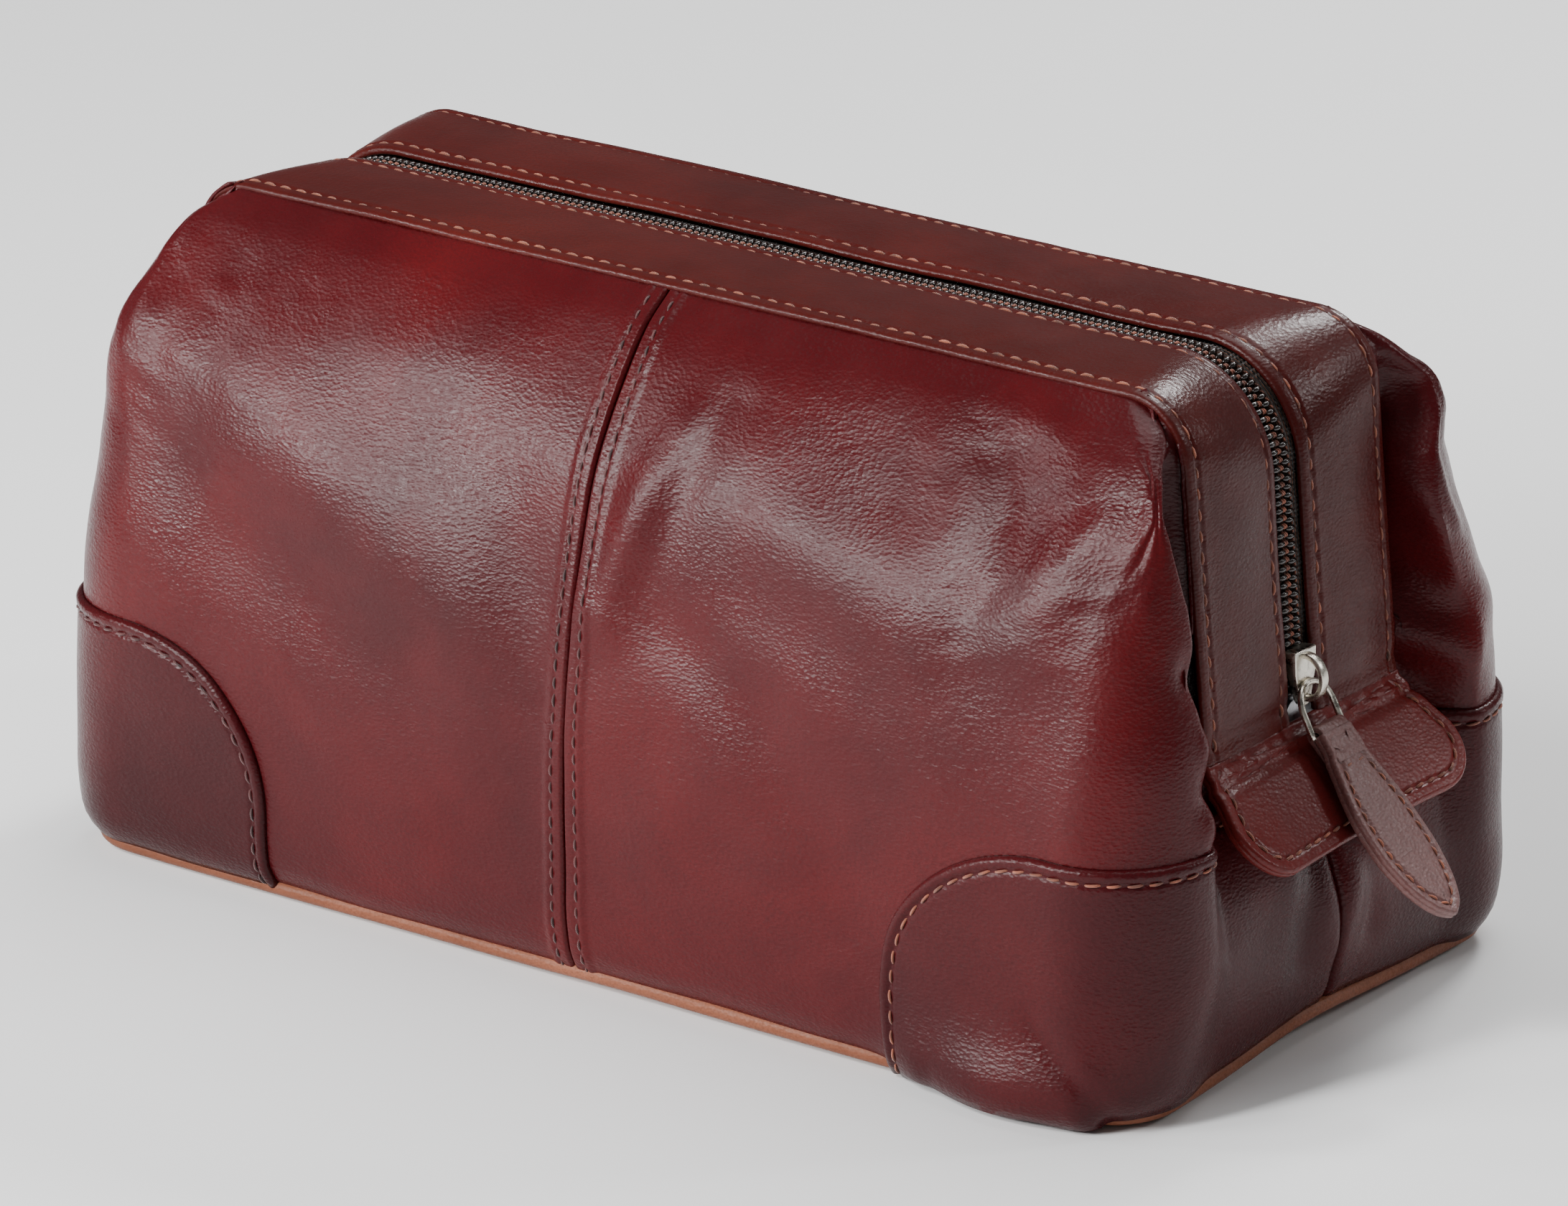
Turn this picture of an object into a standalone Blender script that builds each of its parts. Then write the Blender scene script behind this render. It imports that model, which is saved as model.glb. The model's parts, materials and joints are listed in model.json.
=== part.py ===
"""Framed leather shaving kit bag, in metres, +Z up.

X runs along the bag (+X is the end where the closed zip's slider sits), -Y is the front.
The origin is the middle of the footprint, at floor height.  The mouth is an inverted U of two
leather facings, each stiffened by a flat steel frame.  The frames are riveted together at both
ends, level with the crease under the zip, and swing apart about that line.
"""
import math

import bmesh
import bpy
from mathutils import Matrix, Vector

# ---- Driving dimensions ----
TOP_Z = 0.1351              # top of the facings
HINGE_Z = 0.0638            # rivets and crease under the zip
ARCH_HALF_TOP = 0.1209      # half length of the inverted U at its sharp top corner
ARCH_HALF_FOOT = 0.1273     # and at the crease: the legs splay outwards
OUTER_RADIUS = 0.014        # corner radius along the facings' outer edge
ZIP_RADIUS = 0.025          # corner radius along the zip
FACING_OUTER_Y = 0.0335
FACING_INNER_Y = 0.0045
BAG_MIDDLE = Vector((0.0, 0.0, 0.06))
GAP = 0.0003                # between touching pieces
LEATHER = 0.0014
LINING_OFFSET, LINING_THICKNESS, LINING_FOOT = -0.0042, 0.0007, 0.0065
FACING_THICKNESS = 0.0016
FACING_CROWN, FACING_EDGE_DROP, FACING_EDGE = 0.0004, 0.0007, 0.0015   # turned edges
NOTCH_Z = HINGE_Z - 0.0065      # the panels stop here under the facings' legs
NOTCH_START = 0.085             # and the notch reaches in to here from each end
SMALLEST_RADIUS = 0.0008
END_TURN = 0.004                # the end draws in over this width beside the legs

# Upright profile of the body: height, half width, half length of the bulging corner, half
# length at the middle of the end, and corner radius.  Above the crease the lengths are
# measured out from the arch.
PROFILE = [
    (0.0030, 0.0655, 0.1325, 0.1310, 0.014),
    (0.0080, 0.0685, 0.1355, 0.1335, 0.016),
    (0.0200, 0.0700, 0.1370, 0.1345, 0.019),
    (0.0360, 0.0700, 0.1372, 0.1335, 0.022),
    (0.0500, 0.0695, 0.1372, 0.1275, 0.022),
    (NOTCH_Z, 0.0690, 0.1372, 0.1238, 0.021),
    (0.0700, 0.0675, 0.1368, 0.1247, 0.020),
    (0.0850, 0.0640, 0.1340, 0.1234, 0.020),
    (0.1000, 0.0590, 0.1312, 0.1220, 0.018),
    (0.1130, 0.0525, 0.1285, 0.1206, 0.013),
    (0.1220, 0.0460, 0.1245, 0.1186, 0.009),
    (0.1290, 0.0398, 0.1180, 0.1138, 0.005),
    (0.1325, 0.0352, 0.1105, 0.1090, 0.001),
]

# Zip and hardware, as depths below the facings' face
COIL_DEPTH, COIL_HEIGHT = 0.0010, 0.0020
COIL_INNER_Y, COIL_OUTER_Y, COIL_START = 0.0007, 0.0033, 0.0052
TAPE_DEPTH, TAPE_THICKNESS = 0.0033, 0.0005
TAPE_INNER_Y, TAPE_OUTER_Y, TAPE_START = 0.0010, 0.0112, 0.006
FRAME_DEPTH, FRAME_THICKNESS = 0.0034, 0.0012
FRAME_INNER_Y, FRAME_OUTER_Y = 0.012, 0.024
FRAME_START = -0.0032                           # the legs reach just under the crease
SLEEVE_DEPTH, SLEEVE_THICKNESS = 0.0052, 0.0007
SLEEVE_INNER_Y, SLEEVE_OUTER_Y, SLEEVE_START = 0.0065, 0.0318, 0.012
RIVET_RADIUS, RIVET_LENGTH, RIVET_DEPTH = 0.0018, 0.0050, 0.0048
RIVET_HEAD_RADIUS, RIVET_HEAD_HEIGHT = 0.0035, 0.0010
OUTER_HEAD_DEPTH, INNER_HEAD_DEPTH = 0.00255, 0.0070
LUG_RADIUS, LUG_HALF_HEIGHT, LUG_OVERLAP = 0.0045, 0.0035, 0.004
LUG_STEP = 0.0015                               # the back frame's lugs pass behind the front's
RIVET_CLEARANCE = 0.0004
SLIDER_BOTTOM, SLIDER_TOP = 0.0027, 0.0137      # along the leg, up from the crease
CROWN_HALF_WIDTH, CROWN_THICKNESS, NOSE_RADIUS = 0.0035, 0.0014, 0.0026
PLATE_HALF_WIDTH, PLATE_THICKNESS, PLATE_DEPTH = 0.0034, 0.0008, 0.0049
PLATE_START, WEB_START, WEB_END = 0.0058, 0.0062, 0.0128
WEB_HALF_WIDTH, WEB_HEIGHT, WEB_DEPTH = 0.0003, 0.0052, 0.0024
BAIL_WIRE, BAIL_ROOT_DEPTH = 0.0007, -0.0003
BAIL_MIDDLE, BAIL_HALF_LENGTH = 0.0085, 0.0036  # along the leg
BAIL_RISE, BAIL_BULGE = 0.0022, 0.0022          # out from the crown
STOP_INSET, STOP_HALF, STOP_HEIGHT = 0.0009, (0.0006, 0.0034), 0.003
LOOP_WIRE = 0.0006
LOOP_HALF_WIDTH = 0.0054
FOLD_HALF_WIDTH = LOOP_HALF_WIDTH - LOOP_WIRE - GAP
LOOP_PIVOT = Vector((0.1284, 0.0, 0.0707))
PULLER_PIVOT = Vector((0.1328, 0.0, 0.0622))
PULLER_LENGTH = 0.0429
PULLER_THICKNESS = 0.0026
PULLER_FOLD_RADIUS, PULLER_BORE_RADIUS = 0.0019, 0.0011
PULLER_HALF_OUTLINE = [         # half width and distance from the fold: a pointed leaf
    (FOLD_HALF_WIDTH, 0.0), (0.0052, 0.0060), (0.0074, 0.0110), (0.0083, 0.0180),
    (0.0083, 0.0240), (0.0072, 0.0310), (0.0052, 0.0365), (0.0022, PULLER_LENGTH - 0.0012)]

# Tabs, which lean out with the puller, and the base
TAB_LENGTH, TAB_FLARE, TAB_RADIUS = 0.025, 0.004, 0.009
TAB_ANGLE = math.radians(42)
TAB_START, TAB_BACKING_START = 0.0004, 0.0065
TAB_BACKING_INSET, TAB_BACKING_THICKNESS = 0.0008, 0.0012
BASE_HALF_LENGTH, BASE_HALF_WIDTH, BASE_RADIUS = 0.1330, 0.0660, 0.014
BASE_THICKNESS, BOARD_THICKNESS = 0.0024, 0.0015
BOARD_INSET, BASE_LINING_INSET = 0.004, 0.0055


# ---- Scene and materials ----
def fresh_scene():
    for obj in list(bpy.data.objects):
        bpy.data.objects.remove(obj, do_unlink=True)
    for name, hidden in (("shaving_kit_bag", False), ("cutters", True)):
        collection = bpy.data.collections.new(name)
        collection.hide_render = hidden
        bpy.context.scene.collection.children.link(collection)


def material(name, colour, roughness, metallic=0.0):
    made = bpy.data.materials.new(name)
    made.use_nodes = True
    shader = made.node_tree.nodes["Principled BSDF"]
    shader.inputs["Base Color"].default_value = (*colour, 1.0)
    shader.inputs["Roughness"].default_value = roughness
    shader.inputs["Metallic"].default_value = metallic
    return made


fresh_scene()
PARTS = bpy.data.collections["shaving_kit_bag"]
CUTTERS = bpy.data.collections["cutters"]
FINISHES = {
    "burgundy": ((0.16, 0.018, 0.022), 0.35, 0.0),
    "dark_burgundy": ((0.10, 0.016, 0.014), 0.38, 0.0),
    "tan": ((0.22, 0.075, 0.035), 0.5, 0.0),
    "cloth": ((0.03, 0.02, 0.018), 0.8, 0.0),
    "board": ((0.25, 0.18, 0.11), 0.9, 0.0),
    "steel": ((0.6, 0.6, 0.6), 0.35, 1.0),
    "nickel": ((0.72, 0.70, 0.66), 0.25, 1.0),
    "tape": ((0.06, 0.03, 0.022), 0.85, 0.0),
    "nylon": ((0.02, 0.012, 0.01), 0.3, 0.0),
}


def adopt(obj, name, finish):
    """Names an object, gives it its own material and puts it with the parts."""
    obj.name = name
    obj.data.name = name
    obj.data.materials.clear()
    obj.data.materials.append(material(f"{name}_{finish}", *FINISHES[finish]))
    for collection in list(obj.users_collection):
        collection.objects.unlink(obj)
    PARTS.objects.link(obj)
    return obj


def put_aside(obj):
    """Makes an object a cutter: hidden in renders and drawn as wire."""
    for collection in list(obj.users_collection):
        collection.objects.unlink(obj)
    CUTTERS.objects.link(obj)
    obj.hide_render = True
    obj.display_type = "WIRE"
    return obj


# ---- Shape helpers ----
def object_from(bm, name):
    bm.normal_update()
    bmesh.ops.recalc_face_normals(bm, faces=bm.faces)
    mesh = bpy.data.meshes.new(name)
    bm.to_mesh(mesh)
    bm.free()
    obj = bpy.data.objects.new(name, mesh)
    bpy.context.scene.collection.objects.link(obj)
    return obj


def lofted_sheet(name, rows, thickness, finish):
    """An open sheet through rows of points, thickened towards the inside of the bag."""
    mesh = bpy.data.meshes.new(name)
    bm = bmesh.new()
    loops = [[bm.verts.new(point) for point in row] for row in rows]
    for lower, upper in zip(loops, loops[1:]):
        for i in range(len(lower) - 1):
            bm.faces.new((lower[i], lower[i + 1], upper[i + 1], upper[i]))
    bm.normal_update()
    outwards = sum(f.normal.dot(f.calc_center_median() - BAG_MIDDLE) for f in bm.faces)
    if outwards < 0:
        bmesh.ops.reverse_faces(bm, faces=bm.faces)
    bm.to_mesh(mesh)
    bm.free()
    obj = bpy.data.objects.new(name, mesh)
    solid = obj.modifiers.new("thickness", "SOLIDIFY")
    solid.thickness = thickness
    solid.offset = -1.0
    solid.use_even_offset = True
    solid.thickness_clamp = 1.0
    mesh.shade_smooth()
    mesh.set_sharp_from_angle(angle=math.radians(50))
    return adopt(obj, name, finish)


def box(name, low, high):
    bm = bmesh.new()
    bmesh.ops.create_cube(bm, size=1.0)
    low, high = Vector(low), Vector(high)
    scale = Matrix.Diagonal((*(high - low), 1.0))
    bm.transform(Matrix.Translation((low + high) / 2) @ scale)
    return object_from(bm, name)


def rod(name, centre, radius, length, segments=20):
    """A cylinder along X."""
    bm = bmesh.new()
    bmesh.ops.create_cone(bm, cap_ends=True, segments=segments, radius1=radius,
                          radius2=radius, depth=length)
    bm.transform(Matrix.Translation(centre) @ Matrix.Rotation(math.pi / 2, 4, "Y"))
    return object_from(bm, name)


def combine(obj, other, operation):
    """Joins another object to this one, or cuts it away."""
    put_aside(other)
    modifier = obj.modifiers.new(operation.lower(), "BOOLEAN")
    modifier.operation = operation
    modifier.object = other
    return obj


def plate(name, outline, thickness, frame):
    """A flat outline, given in the frame's XY plane, centred on that plane."""
    curve = bpy.data.curves.new(name, "CURVE")
    curve.dimensions = "2D"
    curve.fill_mode = "BOTH"
    curve.extrude = thickness / 2
    spline = curve.splines.new("POLY")
    spline.points.add(len(outline) - 1)
    for point, (x, y) in zip(spline.points, outline):
        point.co = (x, y, 0.0, 1.0)
    spline.use_cyclic_u = True
    return meshed(bpy.data.objects.new(name, curve), frame)


def wire(name, points, radius, cyclic, resolution=2):
    curve = bpy.data.curves.new(name, "CURVE")
    curve.dimensions = "3D"
    curve.bevel_depth = radius
    curve.bevel_resolution = resolution
    curve.use_fill_caps = True
    spline = curve.splines.new("POLY")
    spline.points.add(len(points) - 1)
    for point, place in zip(spline.points, points):
        point.co = (*place, 1.0)
    spline.use_cyclic_u = cyclic
    return meshed(bpy.data.objects.new(name, curve), Matrix.Identity(4))


def meshed(curve_object, frame):
    """The curve object as a closed mesh object standing in the given frame."""
    bpy.context.scene.collection.objects.link(curve_object)
    graph = bpy.context.evaluated_depsgraph_get()
    mesh = bpy.data.meshes.new_from_object(curve_object.evaluated_get(graph))
    bm = bmesh.new()
    bm.from_mesh(mesh)
    bmesh.ops.remove_doubles(bm, verts=bm.verts, dist=1e-6)
    bm.transform(frame)
    obj = object_from(bm, curve_object.name + "_mesh")
    bpy.data.objects.remove(curve_object, do_unlink=True)
    return obj


def arc(centre, radius, start, end, steps):
    """Points of a flat arc, angles in degrees."""
    angles = [math.radians(start + (end - start) * i / steps) for i in range(steps + 1)]
    return [(centre[0] + radius * math.cos(a), centre[1] + radius * math.sin(a)) for a in angles]


def blend(a, b, t):
    return a + (b - a) * t


def smooth(t):
    t = min(max(t, 0.0), 1.0)
    return t * t * (3 - 2 * t)


# ---- The arch that the facings, frames and zip follow, as (x, z) ----
ARCH_FOOT = Vector((ARCH_HALF_FOOT, HINGE_Z))
ARCH_CORNER = Vector((ARCH_HALF_TOP, TOP_Z))
LEG_UP = (ARCH_CORNER - ARCH_FOOT).normalized()
LEG_IN = Vector((-LEG_UP.y, LEG_UP.x))
TURN = LEG_UP.angle(Vector((-1.0, 0.0)))


def leg_point(height, depth, y=0.0):
    """A point on the right leg: up from the crease, and below the facing's face."""
    x, z = ARCH_FOOT + LEG_UP * height + LEG_IN * depth
    return Vector((x, y, z))


def arch(radius, depth, start, arc_steps, top_steps):
    """Points along the inverted U, from the right leg's foot over to the left one's."""
    reach = radius * math.tan(TURN / 2)
    leg_end = ARCH_CORNER - LEG_UP * reach
    centre = leg_end + LEG_IN * radius
    leg_length = (leg_end - ARCH_FOOT).length
    half = [leg_point(blend(start, leg_length, i / 2), depth).xz for i in range(2)]
    for i in range(arc_steps + 1):
        turned = -LEG_IN
        turned.rotate(Matrix.Rotation(TURN * i / arc_steps, 2))
        half.append(centre + turned * (radius - depth))
    run = half[-1]
    for i in range(1, top_steps + 1):
        half.append(Vector((blend(run.x, 0.0, i / top_steps), run.y)))
    return half + [Vector((-point.x, point.y)) for point in reversed(half[:-1])]


def arch_radius(y):
    """The corner radius opens out from the facings' outer edge to the zip."""
    return blend(ZIP_RADIUS, OUTER_RADIUS, min(abs(y) / FACING_OUTER_Y, 1.0))


def arch_band(name, side, section, start, thickness, finish, arc_steps=7, top_steps=3):
    """A strip that follows the arch: section lists (y, depth) from the zip outwards."""
    lines = [arch(arch_radius(y), depth, start, arc_steps, top_steps) for y, depth in section]
    rows = [[Vector((p.x, side * y, p.y)) for p in line] for (y, _), line in zip(section, lines)]
    return lofted_sheet(name, rows, thickness, finish)


# ---- The soft body ----
def section_at(z_row, offset, counts):
    """A quarter of the body's outline at one height, from the front middle to the end's."""
    z, width, length, end, radius = z_row
    width += offset
    length += offset
    end += offset
    radius = max(radius + offset, SMALLEST_RADIUS)
    front, corner, side = counts
    points = []
    for i in range(front):
        points.append((blend(GAP / 2, length - radius, i / front), -width))
    for x, y in arc((length - radius, -width + radius), radius, -90, 0, corner):
        points.append((x, y))
    turn_y = -width + radius
    for i in range(1, side + 1):
        y = blend(turn_y, -GAP / 2, i / side)
        inwards = smooth((y - turn_y) / max(END_TURN - FACING_OUTER_Y - turn_y, END_TURN / 2))
        points.append((blend(length, end, inwards), y))
    return [Vector((x, y, z)) for x, y in points]


def profile_row(z):
    """The body's profile at any height."""
    for low, high in zip(PROFILE, PROFILE[1:]):
        if z <= high[0]:
            t = (z - low[0]) / (high[0] - low[0])
            return tuple(blend(a, b, t) for a, b in zip(low, high))
    return PROFILE[-1]


def body_rows(heights, offset, counts, x_sign, y_sign):
    rows = []
    for z in heights:
        row = section_at(profile_row(z), offset, counts)
        rows.append([Vector((p.x * x_sign, -p.y * y_sign, p.z)) for p in row])
    return rows


def notch(name):
    """The space that the facings' legs and the hinge take out of each end."""
    outside = 2 * TOP_Z
    side = FACING_OUTER_Y + GAP
    cutter = box(name, (-outside, -side, NOTCH_Z), (outside, side, outside))
    middle = box(name + "_keep", (-NOTCH_START, -outside, 0.0), (NOTCH_START, outside, 2 * outside))
    combine(cutter, middle, "DIFFERENCE")
    return put_aside(cutter)


def make_panels(cutter):
    heights = [row[0] for row in PROFILE]
    for x_name, x_sign in (("left", -1), ("right", 1)):
        for y_name, y_sign in (("front", -1), ("back", 1)):
            rows = body_rows(heights, 0.0, (5, 5, 6), x_sign, y_sign)
            panel = lofted_sheet(f"{y_name}_{x_name}_panel", rows, LEATHER, "burgundy")
            combine(panel, cutter, "DIFFERENCE")


def make_linings(cutter):
    heights = [LINING_FOOT] + [row[0] for row in PROFILE[2:-2]]
    for y_name, y_sign in (("front", -1), ("back", 1)):
        right = body_rows(heights, LINING_OFFSET, (4, 4, 4), 1, y_sign)
        left = body_rows(heights, LINING_OFFSET, (4, 4, 4), -1, y_sign)
        joined = [list(reversed(a)) + b for a, b in zip(left, right)]
        lining = lofted_sheet(f"{y_name}_lining", joined, LINING_THICKNESS, "cloth")
        combine(lining, cutter, "DIFFERENCE")


PATCH_FOOT, PATCH_TOP = 0.0060, 0.0535      # heights of the patches' lower and upper edges
PATCH_GAP = 0.0012                          # clear of the panel between its rows
PATCH_START = 0.0755                        # where a patch begins on the front
PATCH_ARC = (0.0400, 0.0370)                # length and height of its rounded corner
PATCH_LEVELS, PATCH_CROWDING = 7, 1.4       # rows up a patch, and how they crowd to its foot
PATCH_GUIDE_Z = 0.03                        # its columns are laid out at this height


def patch_column(distance):
    """Height of the patch's top edge, this far along the front from where it starts."""
    length, height = PATCH_ARC
    t = min(distance / length, 1.0)
    return PATCH_TOP - height + height * math.sqrt(max(1 - (1 - t) ** 2, 0.0))


def make_patches():
    counts = (12, 5, 6)
    for x_name, x_sign in (("left", -1), ("right", 1)):
        for y_name, y_sign in (("front", -1), ("back", 1)):
            rows = [[] for _ in range(PATCH_LEVELS)]
            for column in range(sum(counts) + 1):
                place = section_at(profile_row(PATCH_GUIDE_Z), 0.0, counts)[column]
                if place.x < PATCH_START and column < counts[0]:
                    continue
                top = patch_column(place.x - PATCH_START) if column < counts[0] else PATCH_TOP
                for level in range(PATCH_LEVELS):
                    t = (level / (PATCH_LEVELS - 1)) ** PATCH_CROWDING
                    z = blend(PATCH_FOOT, top, t)
                    p = section_at(profile_row(z), LEATHER + PATCH_GAP, counts)[column]
                    rows[level].append(Vector((p.x * x_sign, -p.y * y_sign, p.z)))
            lofted_sheet(f"{y_name}_{x_name}_corner_patch", rows, LEATHER, "dark_burgundy")


def rounded_rectangle(half_x, half_y, radius, steps=6):
    points = []
    for sx, sy, start in ((1, 1, 0), (-1, 1, 90), (-1, -1, 180), (1, -1, 270)):
        centre = (sx * (half_x - radius), sy * (half_y - radius))
        points += arc(centre, radius, start, start + 90, steps)
    return points


def make_base():
    for name, inset, z, thickness, finish in (
            ("base_panel", 0.0, 0.0, BASE_THICKNESS, "tan"),
            ("base_board", BOARD_INSET, BASE_THICKNESS + GAP, BOARD_THICKNESS, "board"),
            ("base_lining", BASE_LINING_INSET, BASE_THICKNESS + BOARD_THICKNESS + 2 * GAP,
             LINING_THICKNESS, "cloth")):
        outline = rounded_rectangle(BASE_HALF_LENGTH - inset, BASE_HALF_WIDTH - inset, BASE_RADIUS)
        frame = Matrix.Translation((0, 0, z + thickness / 2))
        adopt(plate(name, outline, thickness, frame), name, finish)


# ---- Tabs under the crease ----
def leaning_frame(origin, x_sign):
    """X across the bag, Y down the leaning tab, Z out of its face."""
    down = Vector((math.sin(TAB_ANGLE) * x_sign, 0, -math.cos(TAB_ANGLE)))
    across = Vector((0, -x_sign, 0))
    out = across.cross(down)
    return Matrix((
        (across.x, down.x, out.x, origin[0]),
        (across.y, down.y, out.y, origin[1]),
        (across.z, down.z, out.z, origin[2]),
        (0, 0, 0, 1)))


def tab_outline(start, inset):
    """A tab that flares from the facings' width, with round lower corners."""
    top = FACING_OUTER_Y - inset
    foot = FACING_OUTER_Y + TAB_FLARE - inset
    end = TAB_LENGTH - inset
    half = [(top, start)] + arc((foot - TAB_RADIUS, end - TAB_RADIUS), TAB_RADIUS, 0, 90, 6)
    return half + [(-x, y) for x, y in reversed(half)]


def make_tabs():
    for x_name, x_sign in (("left", -1), ("right", 1)):
        for name, start, inset, depth, thickness, finish in (
                (f"{x_name}_tab", TAB_START, 0.0, 0.0, FACING_THICKNESS, "dark_burgundy"),
                (f"{x_name}_tab_backing", TAB_BACKING_START, TAB_BACKING_INSET,
                 FACING_THICKNESS + GAP, TAB_BACKING_THICKNESS, "tan")):
            frame = leaning_frame((ARCH_HALF_FOOT * x_sign, 0, HINGE_Z), x_sign)
            shift = Matrix.Translation((0, 0, -depth - thickness / 2))
            made = plate(name, tab_outline(start, inset), thickness, frame @ shift)
            adopt(made, name, finish)


# ---- Mouth: facings, frames, sleeves, zip ----
def make_facings():
    mid = (FACING_INNER_Y + FACING_OUTER_Y) / 2
    section = [(FACING_INNER_Y, FACING_EDGE_DROP), (FACING_INNER_Y + FACING_EDGE, 0.0),
               (mid, -FACING_CROWN), (FACING_OUTER_Y - FACING_EDGE, 0.0),
               (FACING_OUTER_Y, FACING_EDGE_DROP)]
    sleeve = [(y, SLEEVE_DEPTH) for y in (SLEEVE_INNER_Y, mid, SLEEVE_OUTER_Y)]
    for y_name, side in (("front", -1), ("back", 1)):
        arch_band(f"{y_name}_facing", side, section, GAP, FACING_THICKNESS, "dark_burgundy",
                  arc_steps=8)
        arch_band(f"{y_name}_frame_sleeve", side, sleeve, SLEEVE_START, SLEEVE_THICKNESS, "cloth",
                  arc_steps=5, top_steps=2)


def hinge_lug(side, x_sign, depth, near_depth):
    """The arm that reaches from a frame's leg to the rivet, with its round eye."""
    def span(first, last, name, y_low, y_high):
        xs = sorted((x_sign * (ARCH_HALF_FOOT - first), x_sign * (ARCH_HALF_FOOT - last)))
        ys = sorted((side * y_low, side * y_high))
        return box(name, (xs[0], ys[0], HINGE_Z - LUG_HALF_HEIGHT),
                   (xs[1], ys[1], HINGE_Z + LUG_HALF_HEIGHT))
    arm = span(depth, depth + FRAME_THICKNESS, "arm", 0.0, FRAME_INNER_Y + LUG_OVERLAP)
    middle = x_sign * (ARCH_HALF_FOOT - depth - FRAME_THICKNESS / 2)
    eye = rod("eye", (middle, 0, HINGE_Z), LUG_RADIUS, FRAME_THICKNESS, 24)
    combine(arm, eye, "UNION")
    joggle = span(near_depth, depth + FRAME_THICKNESS, "joggle", FRAME_INNER_Y,
                  FRAME_OUTER_Y)
    combine(arm, joggle, "UNION")
    hole = rod("hole", (middle, 0, HINGE_Z), RIVET_RADIUS + RIVET_CLEARANCE,
               4 * FRAME_THICKNESS, 24)
    combine(arm, hole, "DIFFERENCE")
    return arm


def make_frames():
    for y_name, side, lug_depth in (("front", -1, FRAME_DEPTH),
                                    ("back", 1, FRAME_DEPTH + LUG_STEP)):
        section = [(FRAME_INNER_Y, FRAME_DEPTH), (FRAME_OUTER_Y, FRAME_DEPTH)]
        frame = arch_band(f"{y_name}_frame", side, section, FRAME_START, FRAME_THICKNESS, "steel",
                          arc_steps=6, top_steps=1)
        for x_sign in (-1, 1):
            combine(frame, hinge_lug(side, x_sign, lug_depth, FRAME_DEPTH), "UNION")


def make_rivets():
    for x_name, x_sign in (("left", -1), ("right", 1)):
        def at(depth):
            return (x_sign * (ARCH_HALF_FOOT - depth), 0, HINGE_Z)
        name = f"{x_name}_hinge_rivet"
        rivet = rod(name, at(RIVET_DEPTH), RIVET_RADIUS, RIVET_LENGTH)
        for label, depth in (("outer_head", OUTER_HEAD_DEPTH), ("inner_head", INNER_HEAD_DEPTH)):
            head = rod(f"{name}_{label}", at(depth), RIVET_HEAD_RADIUS, RIVET_HEAD_HEIGHT)
            combine(rivet, head, "UNION")
        adopt(rivet, name, "steel")


def make_zip():
    for y_name, side in (("front", -1), ("back", 1)):
        tape = [(TAPE_INNER_Y, TAPE_DEPTH), (TAPE_OUTER_Y, TAPE_DEPTH)]
        arch_band(f"{y_name}_zip_tape", side, tape, TAPE_START, TAPE_THICKNESS, "tape",
                  arc_steps=6, top_steps=1)
        coil = [(COIL_INNER_Y, COIL_DEPTH), (COIL_OUTER_Y, COIL_DEPTH)]
        arch_band(f"{y_name}_zip_coil", side, coil, COIL_START, COIL_HEIGHT, "nylon",
                  arc_steps=8, top_steps=1)
    stop_x = STOP_INSET - ARCH_HALF_FOOT
    half_x, half_y = STOP_HALF
    stop = box("stop", (stop_x - half_x, -half_y, HINGE_Z),
               (stop_x + half_x, half_y, HINGE_Z + STOP_HEIGHT))
    adopt(stop, "zip_end_stop", "nickel")


def leg_frame(depth):
    """X across the bag, Y up the right leg, Z out of its face."""
    origin = leg_point(0.0, depth)
    return Matrix((
        (0, LEG_UP.x, -LEG_IN.x, origin.x),
        (1, 0, 0, 0),
        (0, LEG_UP.y, -LEG_IN.y, origin.z),
        (0, 0, 0, 1)))


def strip(half_width, start, end):
    return [(-half_width, start), (half_width, start), (half_width, end), (-half_width, end)]


def make_slider():
    """Crown, web between the coils and lower plate, with the bail that holds the pull."""
    nose = arc((0, SLIDER_BOTTOM + NOSE_RADIUS), NOSE_RADIUS, 190, 350, 8)
    shoulder = SLIDER_TOP - CROWN_HALF_WIDTH
    crown_outline = nose + [(CROWN_HALF_WIDTH, shoulder), (CROWN_HALF_WIDTH, SLIDER_TOP),
                            (-CROWN_HALF_WIDTH, SLIDER_TOP), (-CROWN_HALF_WIDTH, shoulder)]
    slider = plate("crown", crown_outline, CROWN_THICKNESS, leg_frame(0.0))
    lower = plate("lower", strip(PLATE_HALF_WIDTH, PLATE_START, SLIDER_TOP), PLATE_THICKNESS,
                  leg_frame(PLATE_DEPTH))
    web = plate("web", strip(WEB_HALF_WIDTH, WEB_START, WEB_END), WEB_HEIGHT, leg_frame(WEB_DEPTH))
    bail_path = [leg_point(BAIL_MIDDLE + BAIL_HALF_LENGTH + BAIL_WIRE, BAIL_ROOT_DEPTH)]
    for i in range(7):
        angle = math.radians(75 - 130 * i / 6)
        bail_path.append(leg_point(BAIL_MIDDLE + BAIL_HALF_LENGTH * math.sin(angle),
                                   -BAIL_RISE - BAIL_BULGE * math.cos(angle)))
    bail_path.append(leg_point(BAIL_MIDDLE - BAIL_HALF_LENGTH - BAIL_WIRE, BAIL_ROOT_DEPTH))
    bail = wire("bail", bail_path, BAIL_WIRE, False)
    for other in (lower, web, bail):
        combine(slider, other, "UNION")
    adopt(slider, "slider_body", "nickel")


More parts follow.
